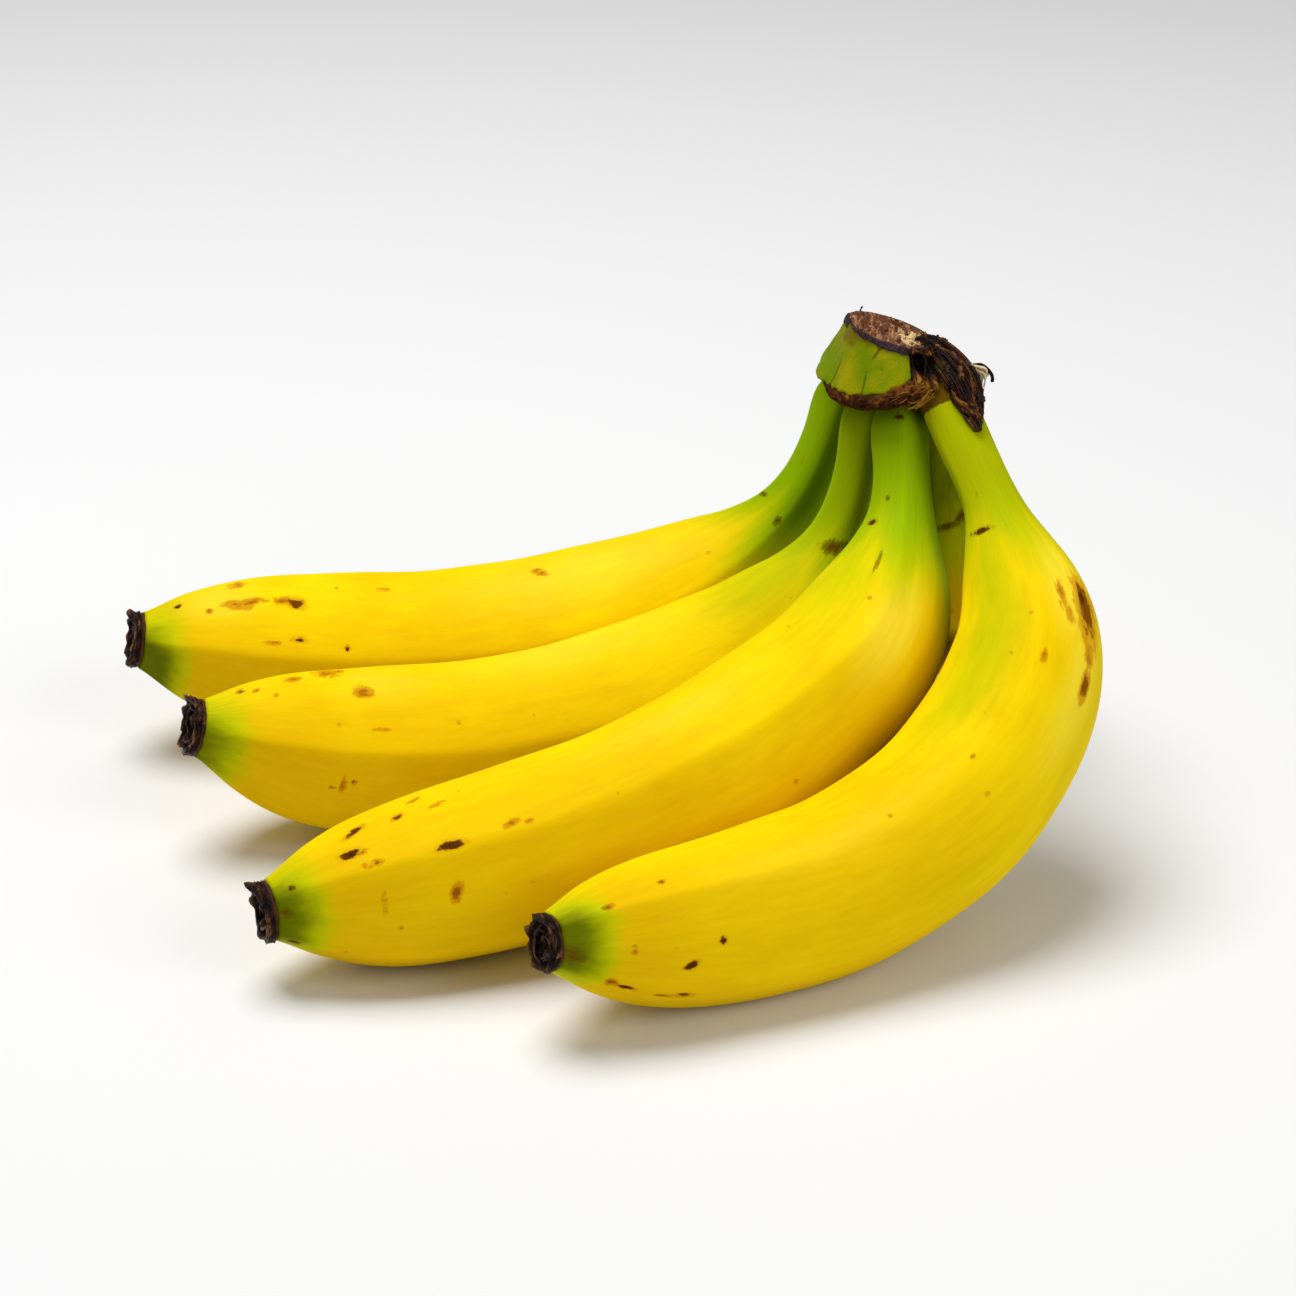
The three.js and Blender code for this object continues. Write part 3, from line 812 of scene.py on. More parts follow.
def make_crown(finish):
    """The cut crown: green skin up to its torn side, and the dried hollow cut on top."""
    piece = divided_cylinder("crown_pad", CROWN_SIDES, CROWN_CUTS)
    t, turn, rim = round_places(piece)
    degrees = np.degrees(turn)
    angle = np.radians(degrees)
    foot_end, side_end = 0.04, 0.55     # the rest of the way is across the cut
    height = np.clip((t - foot_end) / (side_end - foot_end), 0, 1)
    inward = np.clip((t - side_end) / (1 - side_end), 0, 1)
    scale = np.where(t < foot_end, 0.9 + 0.1 * t / foot_end, 1 - 0.97 * inward)
    scale = np.where(rim < AT_MIDDLE, 0, scale)
    low_part = fall(height, 0.35, 0.75)
    lobes = sum(high * bump_at(degrees, where, wide) for where, wide, high in CROWN_LOBES)
    creases = sum(deep * bump_at(degrees, where, wide) for where, wide, deep in CROWN_CREASES)
    swell = value_along(SKIN_SWELL, height) + (lobes - creases) * low_part
    swell = swell + bump_at(degrees, 178, 25) * (
        hump(height, 0.13, 0.12) - 0.9 * hump(height, 0.55, 0.22) - 0.8 * rise(height, 0.75, 0.95))
    swell = swell + 0.25 * np.sin(5 * angle + 3 * height) * rise(height, 0.2, 0.5) * (1 - height)
    # Its lower edge is crisp, over the dry lip.
    ledge = lip_top(degrees) + 0.012 * np.sin(31 * angle) + 0.01 * np.sin(13 * angle)
    swell = swell - 1.3 * fall(height, ledge - 0.05, ledge + 0.015)
    torn = rise(degrees, TORN_FROM - 1, TORN_FROM + 1.2) * fall(degrees, TORN_TO - 3, TORN_TO + 3)
    swell = swell - 3.2 * torn * fall(height, 0.86, 0.97)
    # Under the cut the skin has dried to a dark curled band, widest on the right.
    band_low = 0.975 - 0.05 * rise(degrees, -168, -120) - 0.05 * rise(degrees, -120, -82)
    wavy = height + 0.008 * np.sin(17 * angle) + 0.006 * np.sin(41 * angle)
    band = rise(wavy, band_low - 0.02, band_low + 0.02)
    swell = swell + 0.4 * band
    p = crown_point(degrees, height, swell)
    core_low = middle_of(CROWN_FOOT)
    core = core_low + (middle_of(CROWN_CUT) - core_low) * height[:, None]
    p = core + (p - core) * scale[:, None]
    # The cut has dried hollow, with a curled rim and torn fibres standing in it.
    fibres = rough(p * np.array([1, 0.55, 0.3]), 0.6, 3, 5)
    veins = rough(p * np.array([0.5, 1.6, 0.3]), 0.9, 5, 3)
    inside = rise(inward, 0.03, 0.16)
    p[:, 2] += inside * (-0.8 + 1.5 * fibres + 0.9 * veins) * np.where(rim < AT_MIDDLE, 0.3, 1)
    edge = hump(t, side_end, 0.014)
    front = 0.5 - 0.5 * np.sin(angle)
    p[:, 2] += edge * (
        0.25 * front - 0.5 * (1 - front) + 0.14 * np.sin(11 * angle) + 0.12 * np.sin(29 * angle))
    # A pale pithy patch with a small hole in it.
    pith = patch(p[:, 0], p[:, 1], PITH_AT, PITH_HALF, 4) * inside
    hole = patch(p[:, 0], p[:, 1], HOLE_AT, HOLE_HALF, 2) * inside
    p[:, 2] += 0.3 * pith - 1.3 * hole
    move_to(piece, p * MM)
    dried_rim = np.maximum(band * (inward < 0.02), hump(t - side_end, 0.006, 0.022))
    # Painted shade: thin dark lines along the creases.
    crease = np.maximum(
        low_part * (bump_at(degrees, -110, 1.2) + bump_at(degrees, -148, 1.3)),
        bump_at(degrees, -104 + 26 * (height - 0.8), 1.6) * rise(height, 0.62, 0.74))
    yellow = (1.1 * bump_at(degrees, -128, 10) * hump(height, 0.34, 0.22)
              + 0.9 * bump_at(degrees, -100, 10) * hump(height, 0.82, 0.12))
    note(piece, cut=rise(inward, 0.01, 0.05), rim=dried_rim, height=height, torn=torn, pith=pith,
         hole=hole, crease=crease, yellow=yellow)
    return polished(piece, finish, "crown", "crown")


def make_lip(finish):
    """The dry fibrous lip round the crown's foot, deepest on the right."""
    piece = divided_cylinder("crown_lip", LIP_SIDES, LIP_CUTS)
    t, section, rim = round_places(piece)
    start, end = LIP_TOP[0][0], LIP_TOP[-1][0]
    degrees = start + (end - start) * t
    top = value_along(LIP_TOP, degrees)
    bottom = 0.055 - 0.105 * rise(degrees, -178, -135) + 0.05 * rise(degrees, -110, -70)
    middle = crown_point(degrees, 0.5 * (top + bottom), 0.4)
    crest = crown_point(degrees, top, 1.0)
    base = crown_point(degrees, bottom, 0.6)
    thick = (bpy.context.scene.hand_crown.lip_thickness / MM) * (
        0.30 + 0.65 * rise(degrees, -180, -125) + 0.15 * rise(degrees, -100, -80)
        - 0.3 * rise(degrees, -74, -66))
    ends = rise(t, 0, 0.05) * rise(1 - t, 0, 0.04)
    outward = unit((middle - middle_of(CROWN_FOOT)) * np.array([1, 1, 0]))
    flow = vectors(np.radians(degrees) * 20, np.cos(section) * 2.2, np.sin(section) * 2.2)
    ragged = rough(flow * np.array([0.45, 1.6, 1.6]), 0.8, 9, 5)
    grain = rough(flow * np.array([0.9, 2.0, 2.0]), 1.5, 10, 3)
    grow = (1 + 0.18 * ragged + 0.14 * grain) * np.minimum(rim, 1) * ends
    p = (middle + (crest - base) * (0.5 * np.sin(section) * grow)[:, None]
         + outward * (thick * grow * np.cos(section))[:, None])
    move_to(piece, p * MM)
    tone = 0.40 + 0.24 * ragged + 0.30 * grain + 0.08 * np.sin(section) + 0.16 * rise(degrees, -100, -78)
    note(piece, tone=np.clip(tone, 0, 0.95))
    return polished(piece, finish, "dry_tissue", outward=True)


def sheath_edges(degrees):
    """The torn sheath's lower and upper edge, as shares of the crown's height."""
    low = 0.06 + 0.10 * rise(degrees, -74, -55)
    high = 1.03 - 0.38 * rise(degrees, -30, 25)
    return low, high


def make_sheath(finish):
    """The torn tissue on the crown's right side, hanging in folds round a hollow painted dark as shade."""
    piece = divided_grid("sheath", SHEATH_COLUMNS, SHEATH_ROWS)
    co = places_of(piece)
    u, v = co[:, 0], co[:, 1]
    degrees = SHEATH_FROM + (SHEATH_TO - SHEATH_FROM) * u
    frayed = rough(vectors(u * 34, 0, 0), 0.5, 12, 4)
    low, high = sheath_edges(degrees)
    height = low + (high - low) * v + 0.07 * frayed * np.where(v > 0.5, v, v - 1)
    round_it = degrees * 0.36    # millimetres round the crown
    folds = rough(vectors(round_it, height * 3.2, 0), 0.75, 14, 4)
    lumps = rough(vectors(round_it, height * 11, 0), 0.3, 15, 3)
    fine = rough(vectors(round_it, height * 4.5, 0), 2.0, 16, 3)
    hollow = patch(degrees, height, HOLLOW_AT, HOLLOW_HALF, 4)
    overhang = hump(height, 1.0, 0.09)
    stand = 1.0 + 1.5 * folds + 0.9 * lumps + 0.35 * fine + 1.1 * overhang - 3.6 * hollow
    stand = np.maximum(stand, -2.4)
    move_to(piece, crown_point(degrees, height, stand) * MM)
    gold = patch(degrees, height, GOLD_AT, GOLD_HALF, 2)
    # The tone is lowered in the hollow as painted shade.
    note(piece, tone=np.clip(
        0.20 + 0.65 * folds + 0.3 * lumps + 0.4 * fine - 0.9 * hollow + 0.24 * gold + 0.12 * overhang, 0, 1))
    bpy.context.view_layer.objects.active = piece
    bpy.ops.object.modifier_add(type="SOLIDIFY")
    piece.modifiers[-1].thickness = SHEATH_THICKNESS
    piece.modifiers[-1].offset = -1
    bpy.ops.object.modifier_apply(modifier=piece.modifiers[-1].name)
    return polished(piece, finish, "dry_tissue", "torn_sheath")


def flap_line(t):
    """The flap's middle line, its directions across and outward, half width and half thickness."""
    point, along = curve_through([f[0] for f in FLAP], t)
    steps = np.linspace(0, 1, len(FLAP))
    wide = np.interp(t, steps, [f[1] for f in FLAP])
    thick = np.interp(t, steps, [f[2] for f in FLAP])
    across = np.array([0.75, 0.62, 0.24])
    across = unit(across - along * (along @ across)[:, None])
    return point, across, np.cross(along, across), wide, thick


def make_flap(finish):
    """The folded flap of torn sheath that hangs from the crown's top on the right."""
    piece = divided_cylinder("sheath_flap", FLAP_SIDES, FLAP_CUTS)
    t, section, rim = round_places(piece)
    point, across, outward, wide, thick = flap_line(t)
    flow = vectors(np.cos(section) * wide, np.sin(section) * thick, t * 26)
    twist = flow + 1.6 * vectors(np.sin(t * 11), np.cos(t * 9), 0)
    folds = rough(twist * np.array([1.0, 1.0, 0.26]), 0.62, 31, 4)
    lumps = rough(twist * np.array([1.0, 1.0, 0.7]), 0.4, 32, 3)
    fine = rough(twist * np.array([1.0, 1.0, 0.4]), 1.7, 33, 3)
    body = np.minimum(rim, 1) * rise(t, 0, 0.06)
    relief = (1.15 * folds + 0.5 * lumps + 0.3 * fine) * body * (0.45 + 0.55 * rise(1 - t, 0, 0.3))
    p = (point + across * ((wide * body + 0.8 * relief) * np.cos(section))[:, None]
         + outward * ((thick * body + relief) * np.sin(section))[:, None])
    move_to(piece, p * MM)
    note(piece, tone=np.clip(0.16 + 0.58 * folds + 0.35 * fine + 0.26 * t ** 2, 0, 0.85))
    return polished(piece, finish, "dry_tissue", outward=True)


def make_strands(finish):
    """Dry strands along the flap and down the folds of the sheath."""
    rng = random.Random(STRAND_SEED)
    pieces = []
    for k in range(bpy.context.scene.hand_crown.strand_count):
        if k % 3:       # along the flap
            start, end = rng.uniform(0.0, 0.35), rng.uniform(0.55, 0.98)
            at = rng.uniform(-0.98, 0.98)
            t = np.linspace(start, end, PATH_POINTS)
            point, across, outward, wide, thick = flap_line(t)
            drift = drifting(rng, -0.3, 0.3)
            lift = np.array([rng.uniform(0.9, 1.45) for _ in t])
            side = rng.choice((1, 1, 1, -1))
            s = np.clip(at + drift, -1, 1)
            path = (point + across * (wide * s)[:, None]
                    + outward * (side * thick * np.sqrt(1 - 0.8 * s * s) * lift)[:, None])
        else:           # down the folds
            degrees = rng.uniform(-77, 24) + drifting(rng, -9, 9)
            low, high = sheath_edges(degrees)
            share = np.linspace(rng.uniform(0.0, 0.4), rng.uniform(0.7, 1.02), PATH_POINTS)
            height = low + (high - low) * share
            stand = np.array([2.2 + rng.uniform(-0.6, 0.8) for _ in height])
            path = crown_point(degrees, height, stand)
        thickest = rng.uniform(0.10, 0.30)
        radii = (0.05, thickest, thickest * 0.9, 0.04)
        tone = rng.choice((0.05, 0.1, 0.15, 0.22, 0.32, 0.5))
        pieces.append(strand(f"strand_{k}", path, radii, tone=tone))
    return polished(joined("sheath_strands", pieces), finish, "dry_tissue")


def make_fibres(finish):
    """The pale tuft and dark curl on the right, the hair on the cut's back rim, and the
    golden fibres and dark thread frayed from the lip."""
    rng = random.Random(FIBRE_SEED)
    pieces = []
    for k in range(TUFT_COUNT):
        root = TUFT_AT + scattered(rng, (-1.6, 1.2), (-1, 1), (-0.6, 0.8))
        out = root + scattered(rng, (1.4, 3.2), (-0.6, 0.6), (-0.2, -1.3))
        end = out + scattered(rng, (-0.9, 0.4), (-0.5, 0.5), (-1.2, -4.4))
        pieces.append(strand(f"tuft_{k}", (root, out, end), (0.30, 0.28, 0.08), tone=rng.uniform(1.1, 1.7)))
    pieces.append(strand("curl", DARK_CURL, (0.15, 0.28, 0.36, 0.46, 0.42), tone=0.12))
    hair = crown_point((115.0, 115.0, 114.5), (0.98, 1.04, 1.11), (-0.2, 0.0, 0.1))
    pieces.append(strand("hair", hair, (0.26, 0.17, 0.24), tone=0.15))
    for k in range(LIP_FIBRE_COUNT):
        degrees = rng.uniform(-94, -76)
        height = rng.uniform(0.05, 0.35)
        start = crown_point([degrees], [height], 1.9)[0]
        end = start + scattered(rng, (1.2, 3.6), (-0.6, 0.4), (0.2, 1.8))
        mid = (start + end) / 2 + (0, -0.5, rng.uniform(-0.4, 0.5))
        path = (start, mid, end)
        pieces.append(strand(f"lip_fibre_{k}", path, (0.06, 0.12, 0.05), tone=rng.uniform(0.7, 1.0)))
    for k in range(FRAY_COUNT):
        low = FRAY_FROM + scattered(rng, (0, 3), (-0.3, 0.3), (-0.2, 0.6))
        high = FRAY_TO + scattered(rng, (-1, 1), (-0.3, 0.3), (-0.9, 0.9))
        path = (low, (low + high) / 2 + (0, -0.5, rng.uniform(-0.7, 0.1)), high)
        pieces.append(strand(f"fray_{k}", path, (0.07, 0.2, 0.12), tone=rng.uniform(0.72, 0.95)))
    twig = crown_point((-88.0, -87.5, -87.0), (0.1, 0.0, -0.14), (1.4, 1.1, 0.8))
    pieces.append(strand("lip_thread", twig, (0.14, 0.12, 0.1), tone=0.35))
    return polished(joined("crown_fibres", pieces), finish, "dry_tissue")


# ------------------------------------------------------------------ finishes

# Where a Mix node has its sockets for colours.
MIX_SHARE, MIX_A, MIX_B, MIX_RESULT = 0, 6, 7, 2


class Finish:
    """A procedural finish: a few short words for the shader's nodes."""

    def __init__(self, name, roughness, specular, ior):
        self.material = bpy.data.materials.new(name)
        self.material.use_nodes = True
        self.tree = self.material.node_tree
        self.shader = self.tree.nodes["Principled BSDF"]
        self.shader.inputs["Roughness"].default_value = roughness
        self.shader.inputs["Specular IOR Level"].default_value = specular
        self.shader.inputs["IOR"].default_value = ior

    def put(self, socket, value):
        """Links a node to a socket, or sets the socket to a number, a vector or a colour."""
        if isinstance(value, bpy.types.NodeSocket):
            self.tree.links.new(value, socket)
        elif hasattr(value, "__len__") and len(value) < len(socket.default_value):
            socket.default_value = (*value, 1.0)
        else:
            socket.default_value = value

    def node(self, kind, inputs, **settings):
        """The outputs of a new node with these settings and inputs."""
        node = self.tree.nodes.new("ShaderNode" + kind)
        for key, value in settings.items():
            setattr(node, key, value)
        for key, value in inputs.items():
            self.put(node.inputs[key], value)
        return node.outputs

    def attribute(self, name):
        """A value noted for each point."""
        return self.node("Attribute", {}, attribute_name=name)["Fac"]

    def pattern_place(self, name):
        """A vector noted for each point, where a pattern lies."""
        return self.node("Attribute", {}, attribute_name=name)["Vector"]

    def place(self):
        """Where each point is in the piece."""
        return self.node("TexCoord", {})["Object"]

    def math(self, kind, a, b):
        return self.node("Math", {0: a, 1: b}, operation=kind)[0]

    def plus(self, a, b):
        return self.math("ADD", a, b)

    def less(self, a, b):
        return self.math("SUBTRACT", a, b)

    def times(self, a, b):
        return self.math("MULTIPLY", a, b)

    def most(self, a, b):
        return self.math("MAXIMUM", a, b)

    def sway(self, noise, strength):
        """A noise swaying about 0 instead of about a half, times a strength."""
        return self.times(self.less(noise, 0.5), strength)

    def stretch(self, vector, factors):
        """A vector times a factor each way."""
        return self.node("VectorMath", {0: vector, 1: factors}, operation="MULTIPLY")[0]

    def noise(self, vector, size, detail=3.0, roughness=0.55, distortion=0.0):
        """Soft noise whose lumps are about size metres across."""
        return self.node("TexNoise", {
            "Vector": vector, "Scale": 1 / size, "Detail": detail, "Roughness": roughness,
            "Distortion": distortion})["Fac"]

    def cells(self, vector, size):
        """How far it is to a cell's middle, and a number drawn for each cell."""
        found = self.node("TexVoronoi", {"Vector": vector, "Scale": 1 / size})
        return found["Distance"], found["Color"]

    def between(self, value, low, high, start=0.0, end=1.0):
        """From start to end as the value goes from low to high."""
        inputs = dict(enumerate((value, low, high, start, end)))
        return self.node("MapRange", inputs, interpolation_type="SMOOTHSTEP")[0]

    def mix(self, share, a, b, blend="MIX"):
        """Colour b over colour a, in its share."""
        inputs = {MIX_SHARE: share, MIX_A: a, MIX_B: b}
        return self.node("Mix", inputs, data_type="RGBA", blend_type=blend)[MIX_RESULT]

    def shades(self, value, base, *steps):
        """The base, and each step's colour over it as the value goes from its low to its high."""
        for low, high, colour in steps:
            base = self.mix(self.between(value, low, high), base, colour)
        return base

    def colour(self, value):
        self.put(self.shader.inputs["Base Color"], value)

    def sheen_of(self, value):
        self.put(self.shader.inputs["Roughness"], value)

    def relief(self, height, distance, strength):
        """Fine relief, as deep as the distance in metres."""
        lifted = self.node("Bump", {"Distance": distance, "Strength": strength, "Height": height})
        self.put(self.shader.inputs["Normal"], lifted[0])


def peel_finish(settings):
    """Peel from green necks to ripe yellow, scuffed brown."""
    f = Finish("banana_peel", 0.45, 0.03, 1.25)
    flat = f.pattern_place("straight")
    streaky = f.stretch(flat, (1.0, 1.0, 0.16))
    clouds = f.noise(flat, 0.030, 3)
    streaks = f.noise(streaky, 0.0028, 4, 0.6)
    fine = f.noise(flat, 0.0011, 2)
    # Ripe yellow, deeper in clouds and along fine lengthwise streaks.
    tone = f.plus(f.times(clouds, 0.65), f.times(streaks, 0.45))
    base = f.shades(tone, settings.ripe, (0.42, 0.70, settings.deep))
    # A pale painted sheen where the light falls brightest.
    bloom = f.plus(f.attribute("bloom"), f.sway(streaks, 0.5))
    base = f.mix(f.times(f.between(bloom, 0.10, 0.9), 0.8), base, settings.pale)
    # Painted shade on the facets below.
    base = f.mix(f.times(f.attribute("below"), 0.58), base, settings.underside_shade_colour)
    # Green at the neck and dark green at the tip, through lime, with streaky edges; painted shade deepens the
    # tip's green below and on the back finger's neck.
    green = f.plus(f.attribute("green"), f.sway(streaks, 0.26))
    green = f.plus(green, f.sway(clouds, 0.26))
    base = f.shades(green, base, (0.06, 0.62, settings.lime), (0.42, 1.0, settings.green))
    tip = f.plus(f.attribute("olive"), f.sway(f.noise(flat, 0.007, 3), 0.5))
    base = f.shades(tip, base, (0.04, 0.55, settings.lime), (0.30, 1.0, settings.olive))
    mottle = f.between(f.noise(streaky, 0.0018, 3, 0.6), 0.35, 0.65)
    mottle = f.mix(mottle, (0.93, 0.92, 0.90), (1.03, 1.03, 1.03))
    base = f.mix(0.5, base, mottle, "MULTIPLY")
    # Orange halos, brown speckle and dark cores where the peel is scuffed.
    ragged = f.less(f.noise(f.stretch(flat, (1.0, 1.0, 0.5)), 0.0022, 4, 0.75), 0.5)
    speckle = f.less(f.noise(f.stretch(flat, (1.0, 1.0, 0.6)), 0.0011, 2, 0.6), 0.5)
    grain = f.plus(f.times(ragged, 0.65), f.times(speckle, 0.40))
    scuff = f.attribute("scuff")
    near = f.plus(scuff, f.times(grain, 1.25))
    darkness = f.attribute("darkness")
    halo = f.times(f.between(near, 0.22, 0.46), f.between(scuff, 0.04, 0.30, 0.0, 0.75))
    halo = f.times(halo, f.between(darkness, 0.6, 0.95, 1.0, 0.4))
    greenest = f.most(green, tip)
    orange = f.mix(f.between(greenest, 0.15, 0.5), (0.58, 0.20, 0.002), (0.12, 0.10, 0.002))
    base = f.mix(halo, base, orange)
    dark = f.times(f.between(near, 0.50, 0.70), f.between(scuff, 0.10, 0.30))
    dark = f.times(dark, f.between(darkness, 0.4, 0.8, 0.75, 1.0))
    brown = f.most(f.between(darkness, 0.45, 0.85), f.between(greenest, 0.15, 0.5, 0.0, 0.8))
    base = f.mix(dark, base, f.mix(brown, (0.36, 0.12, 0.002), settings.brown))
    core = f.times(f.between(near, 0.86, 1.08), f.between(scuff, 0.7, 0.95, 0.0, 0.8))
    base = f.mix(core, base, (0.018, 0.006, 0.002))
    spot, chance = f.cells(flat, 0.0075)
    chosen = f.between(chance, 0.62, 0.66)
    fleck = f.times(f.between(f.plus(spot, f.times(ragged, 0.25)), 0.10, 0.05), chosen)
    base = f.mix(f.times(fleck, 0.5), base, (0.34, 0.13, 0.002))
    # The peel's edge at the blossom end is crusted, and one neck has dried brown.
    crust = f.between(f.plus(f.attribute("crust"), f.times(grain, 0.6)), 0.85, 1.1)
    base = f.mix(f.times(crust, 0.9), base, (0.10, 0.035, 0.006))
    edge = f.plus(f.attribute("dried"), f.times(ragged, 0.6))
    dried = f.mix(f.between(clouds, 0.3, 0.7), (0.12, 0.055, 0.003), (0.20, 0.125, 0.002))
    base = f.mix(f.between(edge, 0.35, 0.70), base, dried)
    close = f.mix(f.between(green, 0.1, 0.4), (0.045, 0.012, 0.001), (0.025, 0.045, 0.001))
    base = f.mix(f.attribute("shade"), base, close)
    f.colour(base)
    dull = f.between(f.plus(dark, f.times(clouds, 0.4)), 0.1, 1.0, 0.50, 0.75)
    f.sheen_of(f.most(dull, f.between(f.attribute("shade"), 0.0, 0.5, 0.5, 1.0)))
    height = f.plus(f.times(streaks, 0.6), f.times(fine, 0.35))
    height = f.less(height, f.times(dark, 0.6))
    f.relief(height, 0.00022, 0.6)
    return f.material


def crown_finish(settings):
    """The crown's green skin, dried rim and fibrous cut."""
    f = Finish("crown_skin", 0.5, 0.04, 1.3)
    at = f.place()
    upright = f.stretch(at, (1, 1, 0.22))
    streaks = f.noise(upright, 0.0026, 4, 0.65)
    clouds = f.noise(at, 0.008, 3)
    fine = f.noise(at, 0.0009, 4, 0.7)
    mottled = f.plus(clouds, f.times(streaks, 0.4))
    skin = f.mix(f.between(mottled, 0.58, 0.90), settings.green, (0.27, 0.26, 0.001))
    skin = f.mix(f.between(f.plus(streaks, f.times(fine, 0.5)), 0.62, 0.38), skin, (0.11, 0.13, 0.001))
    skin = f.mix(f.times(f.attribute("yellow"), 0.5), skin, (0.40, 0.33, 0.002))
    spot, chance = f.cells(at, 0.0042)
    speck = f.times(f.between(spot, 0.16, 0.06), f.between(chance, 0.6, 0.65))
    skin = f.mix(f.times(speck, 0.55), skin, (0.05, 0.025, 0.002))
    ragged = f.sway(fine, 0.5)
    # Painted shade along the creases.
    crease = f.between(f.plus(f.attribute("crease"), ragged), 0.35, 0.9)
    skin = f.mix(f.times(crease, 0.75), skin, (0.035, 0.03, 0.002))
    # Brown stains creep down from the dried band.
    height = f.attribute("height")
    stain = f.between(f.plus(height, f.sway(clouds, 1.1)), 0.78, 0.98)
    skin = f.mix(f.times(stain, 0.7), skin, (0.12, 0.065, 0.004))
    foot = f.between(f.plus(height, f.times(ragged, 0.1)), 0.05, 0.02)
    skin = f.mix(foot, skin, settings.tissue)
    torn = f.between(f.plus(f.attribute("torn"), f.times(ragged, 0.3)), 0.35, 0.55)
    skin = f.mix(torn, skin, (0.02, 0.007, 0.003))
    # The cut is fibrous and pinkish brown, with pale pith; its rim is nearly black.
    fibres = f.noise(f.stretch(at, (1.3, 0.6, 1)), 0.0034, 5, 0.72, 2.2)
    patches = f.noise(f.stretch(at, (1, 0.5, 1)), 0.005, 3)
    dried = f.shades(
        fibres, (0.045, 0.013, 0.007), (0.42, 0.56, settings.cut), (0.58, 0.68, (0.66, 0.42, 0.22)))
    dried = f.mix(f.between(f.plus(patches, f.times(fibres, 0.8)), 1.0, 0.78), dried, (0.12, 0.045, 0.022))
    pith = f.plus(f.attribute("pith"), f.sway(fibres, 2.6))
    dried = f.mix(f.between(pith, 0.50, 1.15), dried, (0.80, 0.58, 0.28))
    dried = f.mix(f.between(f.attribute("hole"), 0.3, 0.7), dried, (0.05, 0.012, 0.006))
    skin = f.mix(f.attribute("cut"), skin, dried)
    rim = f.between(f.plus(f.attribute("rim"), f.times(ragged, 0.6)), 0.35, 0.6)
    grey = f.mix(f.between(fine, 0.42, 0.66), settings.rim, (0.065, 0.042, 0.048))
    skin = f.mix(rim, skin, grey)
    f.colour(skin)
    f.sheen_of(f.between(fine, 0.3, 0.8, 0.48, 0.78))
    relief = f.plus(f.times(streaks, 0.5), f.times(fibres, 0.6))
    f.relief(f.plus(relief, f.times(fine, 0.5)), 0.0005, 0.8)
    return f.material


def tissue_finish(name, settings, wet):
    """Dry brown tissue, glossier where it is wet."""
    f = Finish(name, 0.6, 0.2 if wet else 0.08, 1.35)
    at = f.place()
    grain = f.noise(f.stretch(at, (1.2, 1.2, 0.55)), 0.0013, 5, 0.75, 1.2)
    coarse = f.noise(at, 0.0035, 3, 0.6, 0.8)
    tone = f.plus(f.attribute("tone"), f.sway(grain, 0.9))
    tone = f.plus(tone, f.sway(coarse, 0.5))
    f.colour(f.shades(
        tone, (0.006, 0.002, 0.0015), (0.12, 0.40, settings.tissue), (0.40, 0.72, (0.15, 0.048, 0.006)),
        (0.66, 0.92, settings.golden), (1.05, 1.35, (0.85, 0.72, 0.46))))
    f.sheen_of(f.between(grain, 0.3, 0.7, 0.20 if wet else 0.55, 0.5 if wet else 0.85))
    f.relief(f.plus(f.times(grain, 0.8), f.times(coarse, 0.4)), 0.0005, 0.9)
    return f.material


def blossom_finish(settings):
    """The nearly black blossom ends with lighter rubbed folds, a painted highlight on the rims and curled
    strands, and painted shade inside the cups.
    """
    f = Finish("dried_blossom", 0.4, 0.22, 1.4)
    flow = f.pattern_place("flow")
    grain = f.noise(f.stretch(flow, (1, 1, 2.2)), 0.0013, 5, 0.75, 0.8)
    tone = f.plus(f.attribute("wear"), f.sway(grain, 1.2))
    base = f.shades(
        tone, settings.dark, (0.30, 0.72, (0.045, 0.013, 0.005)), (0.80, 1.15, settings.light))
    crust = f.between(f.plus(f.attribute("crust"), f.less(grain, 0.5)), 0.45, 0.95)
    base = f.mix(f.times(crust, 0.7), base, (0.13, 0.045, 0.018))
    f.colour(base)
    f.sheen_of(f.between(grain, 0.3, 0.7, 0.22, 0.5))
    f.relief(grain, 0.0006, 0.9)
    return f.material


# ------------------------------------------------------------------ operators

class HAND_OT_fingers(bpy.types.Operator):
    """Models the five bananas and their peel"""

    bl_idname = "hand.fingers"
    bl_label = "Bananas"

    def execute(self, context):
        finish = peel_finish(context.scene.hand_peel)
        for number in FINGERS:
            make_finger(number, finish)
        return {"FINISHED"}


class HAND_OT_blossom_ends(bpy.types.Operator):
    """Models the dried blossom ends on the bananas' tips"""

    bl_idname = "hand.blossom_ends"
    bl_label = "Blossom ends"

    def execute(self, context):
        finish = blossom_finish(context.scene.hand_blossom)
        for number in FINGERS:
            make_blossom_end(number, finish)
        return {"FINISHED"}


class HAND_OT_crown(bpy.types.Operator):
    """Models the cut crown and the dry lip round its foot"""

    bl_idname = "hand.crown"
    bl_label = "Crown"

    def execute(self, context):
        settings = context.scene.hand_crown
        make_crown(crown_finish(settings))
        make_lip(tissue_finish("dry_lip", settings, wet=False))
        return {"FINISHED"}


class HAND_OT_sheath(bpy.types.Operator):
    """Models the torn sheath, its hanging flap and its loose strands"""

    bl_idname = "hand.sheath"
    bl_label = "Torn sheath"

    def execute(self, context):
        finish = tissue_finish("torn_tissue", context.scene.hand_crown, wet=True)
        make_sheath(finish)
        make_flap(finish)
        make_strands(finish)
        make_fibres(finish)
        return {"FINISHED"}


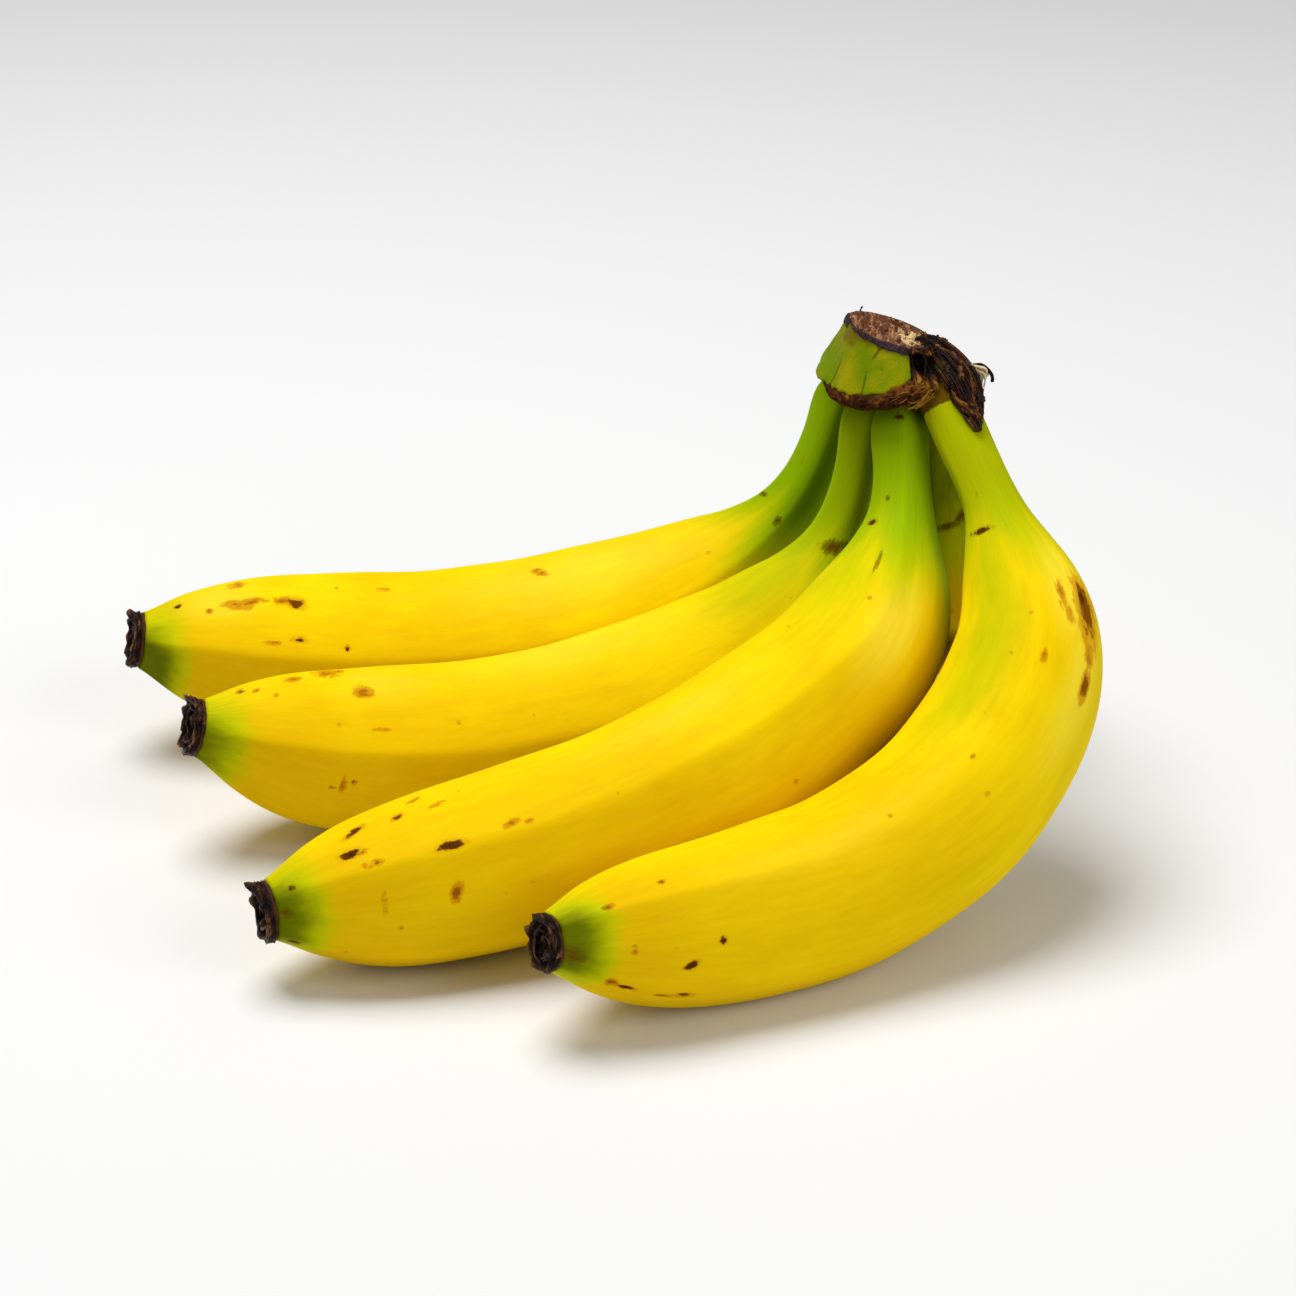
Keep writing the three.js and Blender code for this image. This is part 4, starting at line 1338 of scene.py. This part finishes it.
FLOOR_SIZE, FLOOR_DROP = 12, 0.0002
LIGHT_SIZE, LIGHTS_AIM = 0.9, Vector((0.0, 0.0, 0.03))
KEY_LIGHT_AT, FILL_LIGHT_AT = (-0.25, 0.15, 1.25), (0.9, -0.8, 0.7)
CAMERA_TARGET = Vector((14, 13.5, 37.5)) * MM
SENSOR_WIDTH = 36


class HAND_OT_stage(bpy.types.Operator):
    """Sets the floor, the soft lights and the camera"""

    bl_idname = "hand.stage"
    bl_label = "Stage"

    def execute(self, context):
        stage = context.scene.hand_stage
        start_clean()
        bpy.ops.mesh.primitive_plane_add(size=FLOOR_SIZE, location=(0, 0, -FLOOR_DROP))
        floor = context.object
        floor.name = "floor"
        bpy.ops.object.transform_apply(location=True)
        f = Finish("pale_floor", 0.8, 0.1, 1.3)
        f.colour(stage.floor)
        floor.data.materials.append(f.material)

        def light(name, where, power):
            bpy.ops.object.light_add(type="AREA", location=where)
            lamp = context.object
            lamp.name = name
            lamp.data.shape = "DISK"
            lamp.data.size = LIGHT_SIZE
            lamp.data.energy = power
            lamp.visible_camera = False
            aim = LIGHTS_AIM - Vector(where)
            lamp.rotation_euler = aim.to_track_quat("-Z", "Y").to_euler()

        light("key_light", KEY_LIGHT_AT, stage.key_power)
        light("fill_light", FILL_LIGHT_AT, stage.fill_power)

        world = bpy.data.worlds.new("soft_room")
        context.scene.world = world
        world.use_nodes = True
        sky = world.node_tree.nodes["Background"]
        sky.inputs["Color"].default_value = (1, 1, 1, 1)
        sky.inputs["Strength"].default_value = stage.sky

        back = Vector((0, -math.cos(stage.elevation), math.sin(stage.elevation)))
        bpy.ops.object.camera_add(location=CAMERA_TARGET + back * stage.distance)
        camera = context.object
        camera.name = "camera"
        camera.rotation_euler = (-back).to_track_quat("-Z", "Y").to_euler()
        camera.data.sensor_width = SENSOR_WIDTH
        camera.data.lens = stage.lens
        camera.data.clip_start = 0.01
        context.scene.camera = camera
        context.scene.view_settings.view_transform = "Standard"
        context.scene.view_settings.look = "None"
        return {"FINISHED"}


class HAND_PT_panel(bpy.types.Panel):
    """Lists the steps and their settings"""

    bl_label = "Banana hand"
    bl_space_type = "VIEW_3D"
    bl_region_type = "UI"
    bl_category = "Fruit"

    def draw(self, context):
        for operator, name in STEPS:
            self.layout.operator(f"hand.{operator}")
            if name:
                settings = getattr(context.scene, name)
                for key in settings.__annotations__:
                    self.layout.prop(settings, key)


STEPS = (
    ("stage", "hand_stage"),
    ("fingers", "hand_peel"),
    ("blossom_ends", "hand_blossom"),
    ("crown", "hand_crown"),
    ("sheath", None),
)
SETTINGS = {
    "hand_peel": PeelSettings,
    "hand_crown": CrownSettings,
    "hand_blossom": BlossomSettings,
    "hand_stage": StageSettings,
}
CLASSES = (
    PeelSettings, CrownSettings, BlossomSettings, StageSettings,
    HAND_OT_stage, HAND_OT_fingers, HAND_OT_blossom_ends, HAND_OT_crown, HAND_OT_sheath,
    HAND_PT_panel,
)


def register():
    """Adds the settings, the operators and the panel."""
    for made in CLASSES:
        bpy.utils.register_class(made)
    for name, group in SETTINGS.items():
        setattr(bpy.types.Scene, name, PointerProperty(type=group))


def unregister():
    """Takes them away again."""
    for name in SETTINGS:
        delattr(bpy.types.Scene, name)
    for made in reversed(CLASSES):
        bpy.utils.unregister_class(made)


def main():
    """Registers the settings, operators and panel, and runs the steps."""
    register()
    for operator, _ in STEPS:
        getattr(bpy.ops.hand, operator)()


if __name__ == "__main__":
    main()
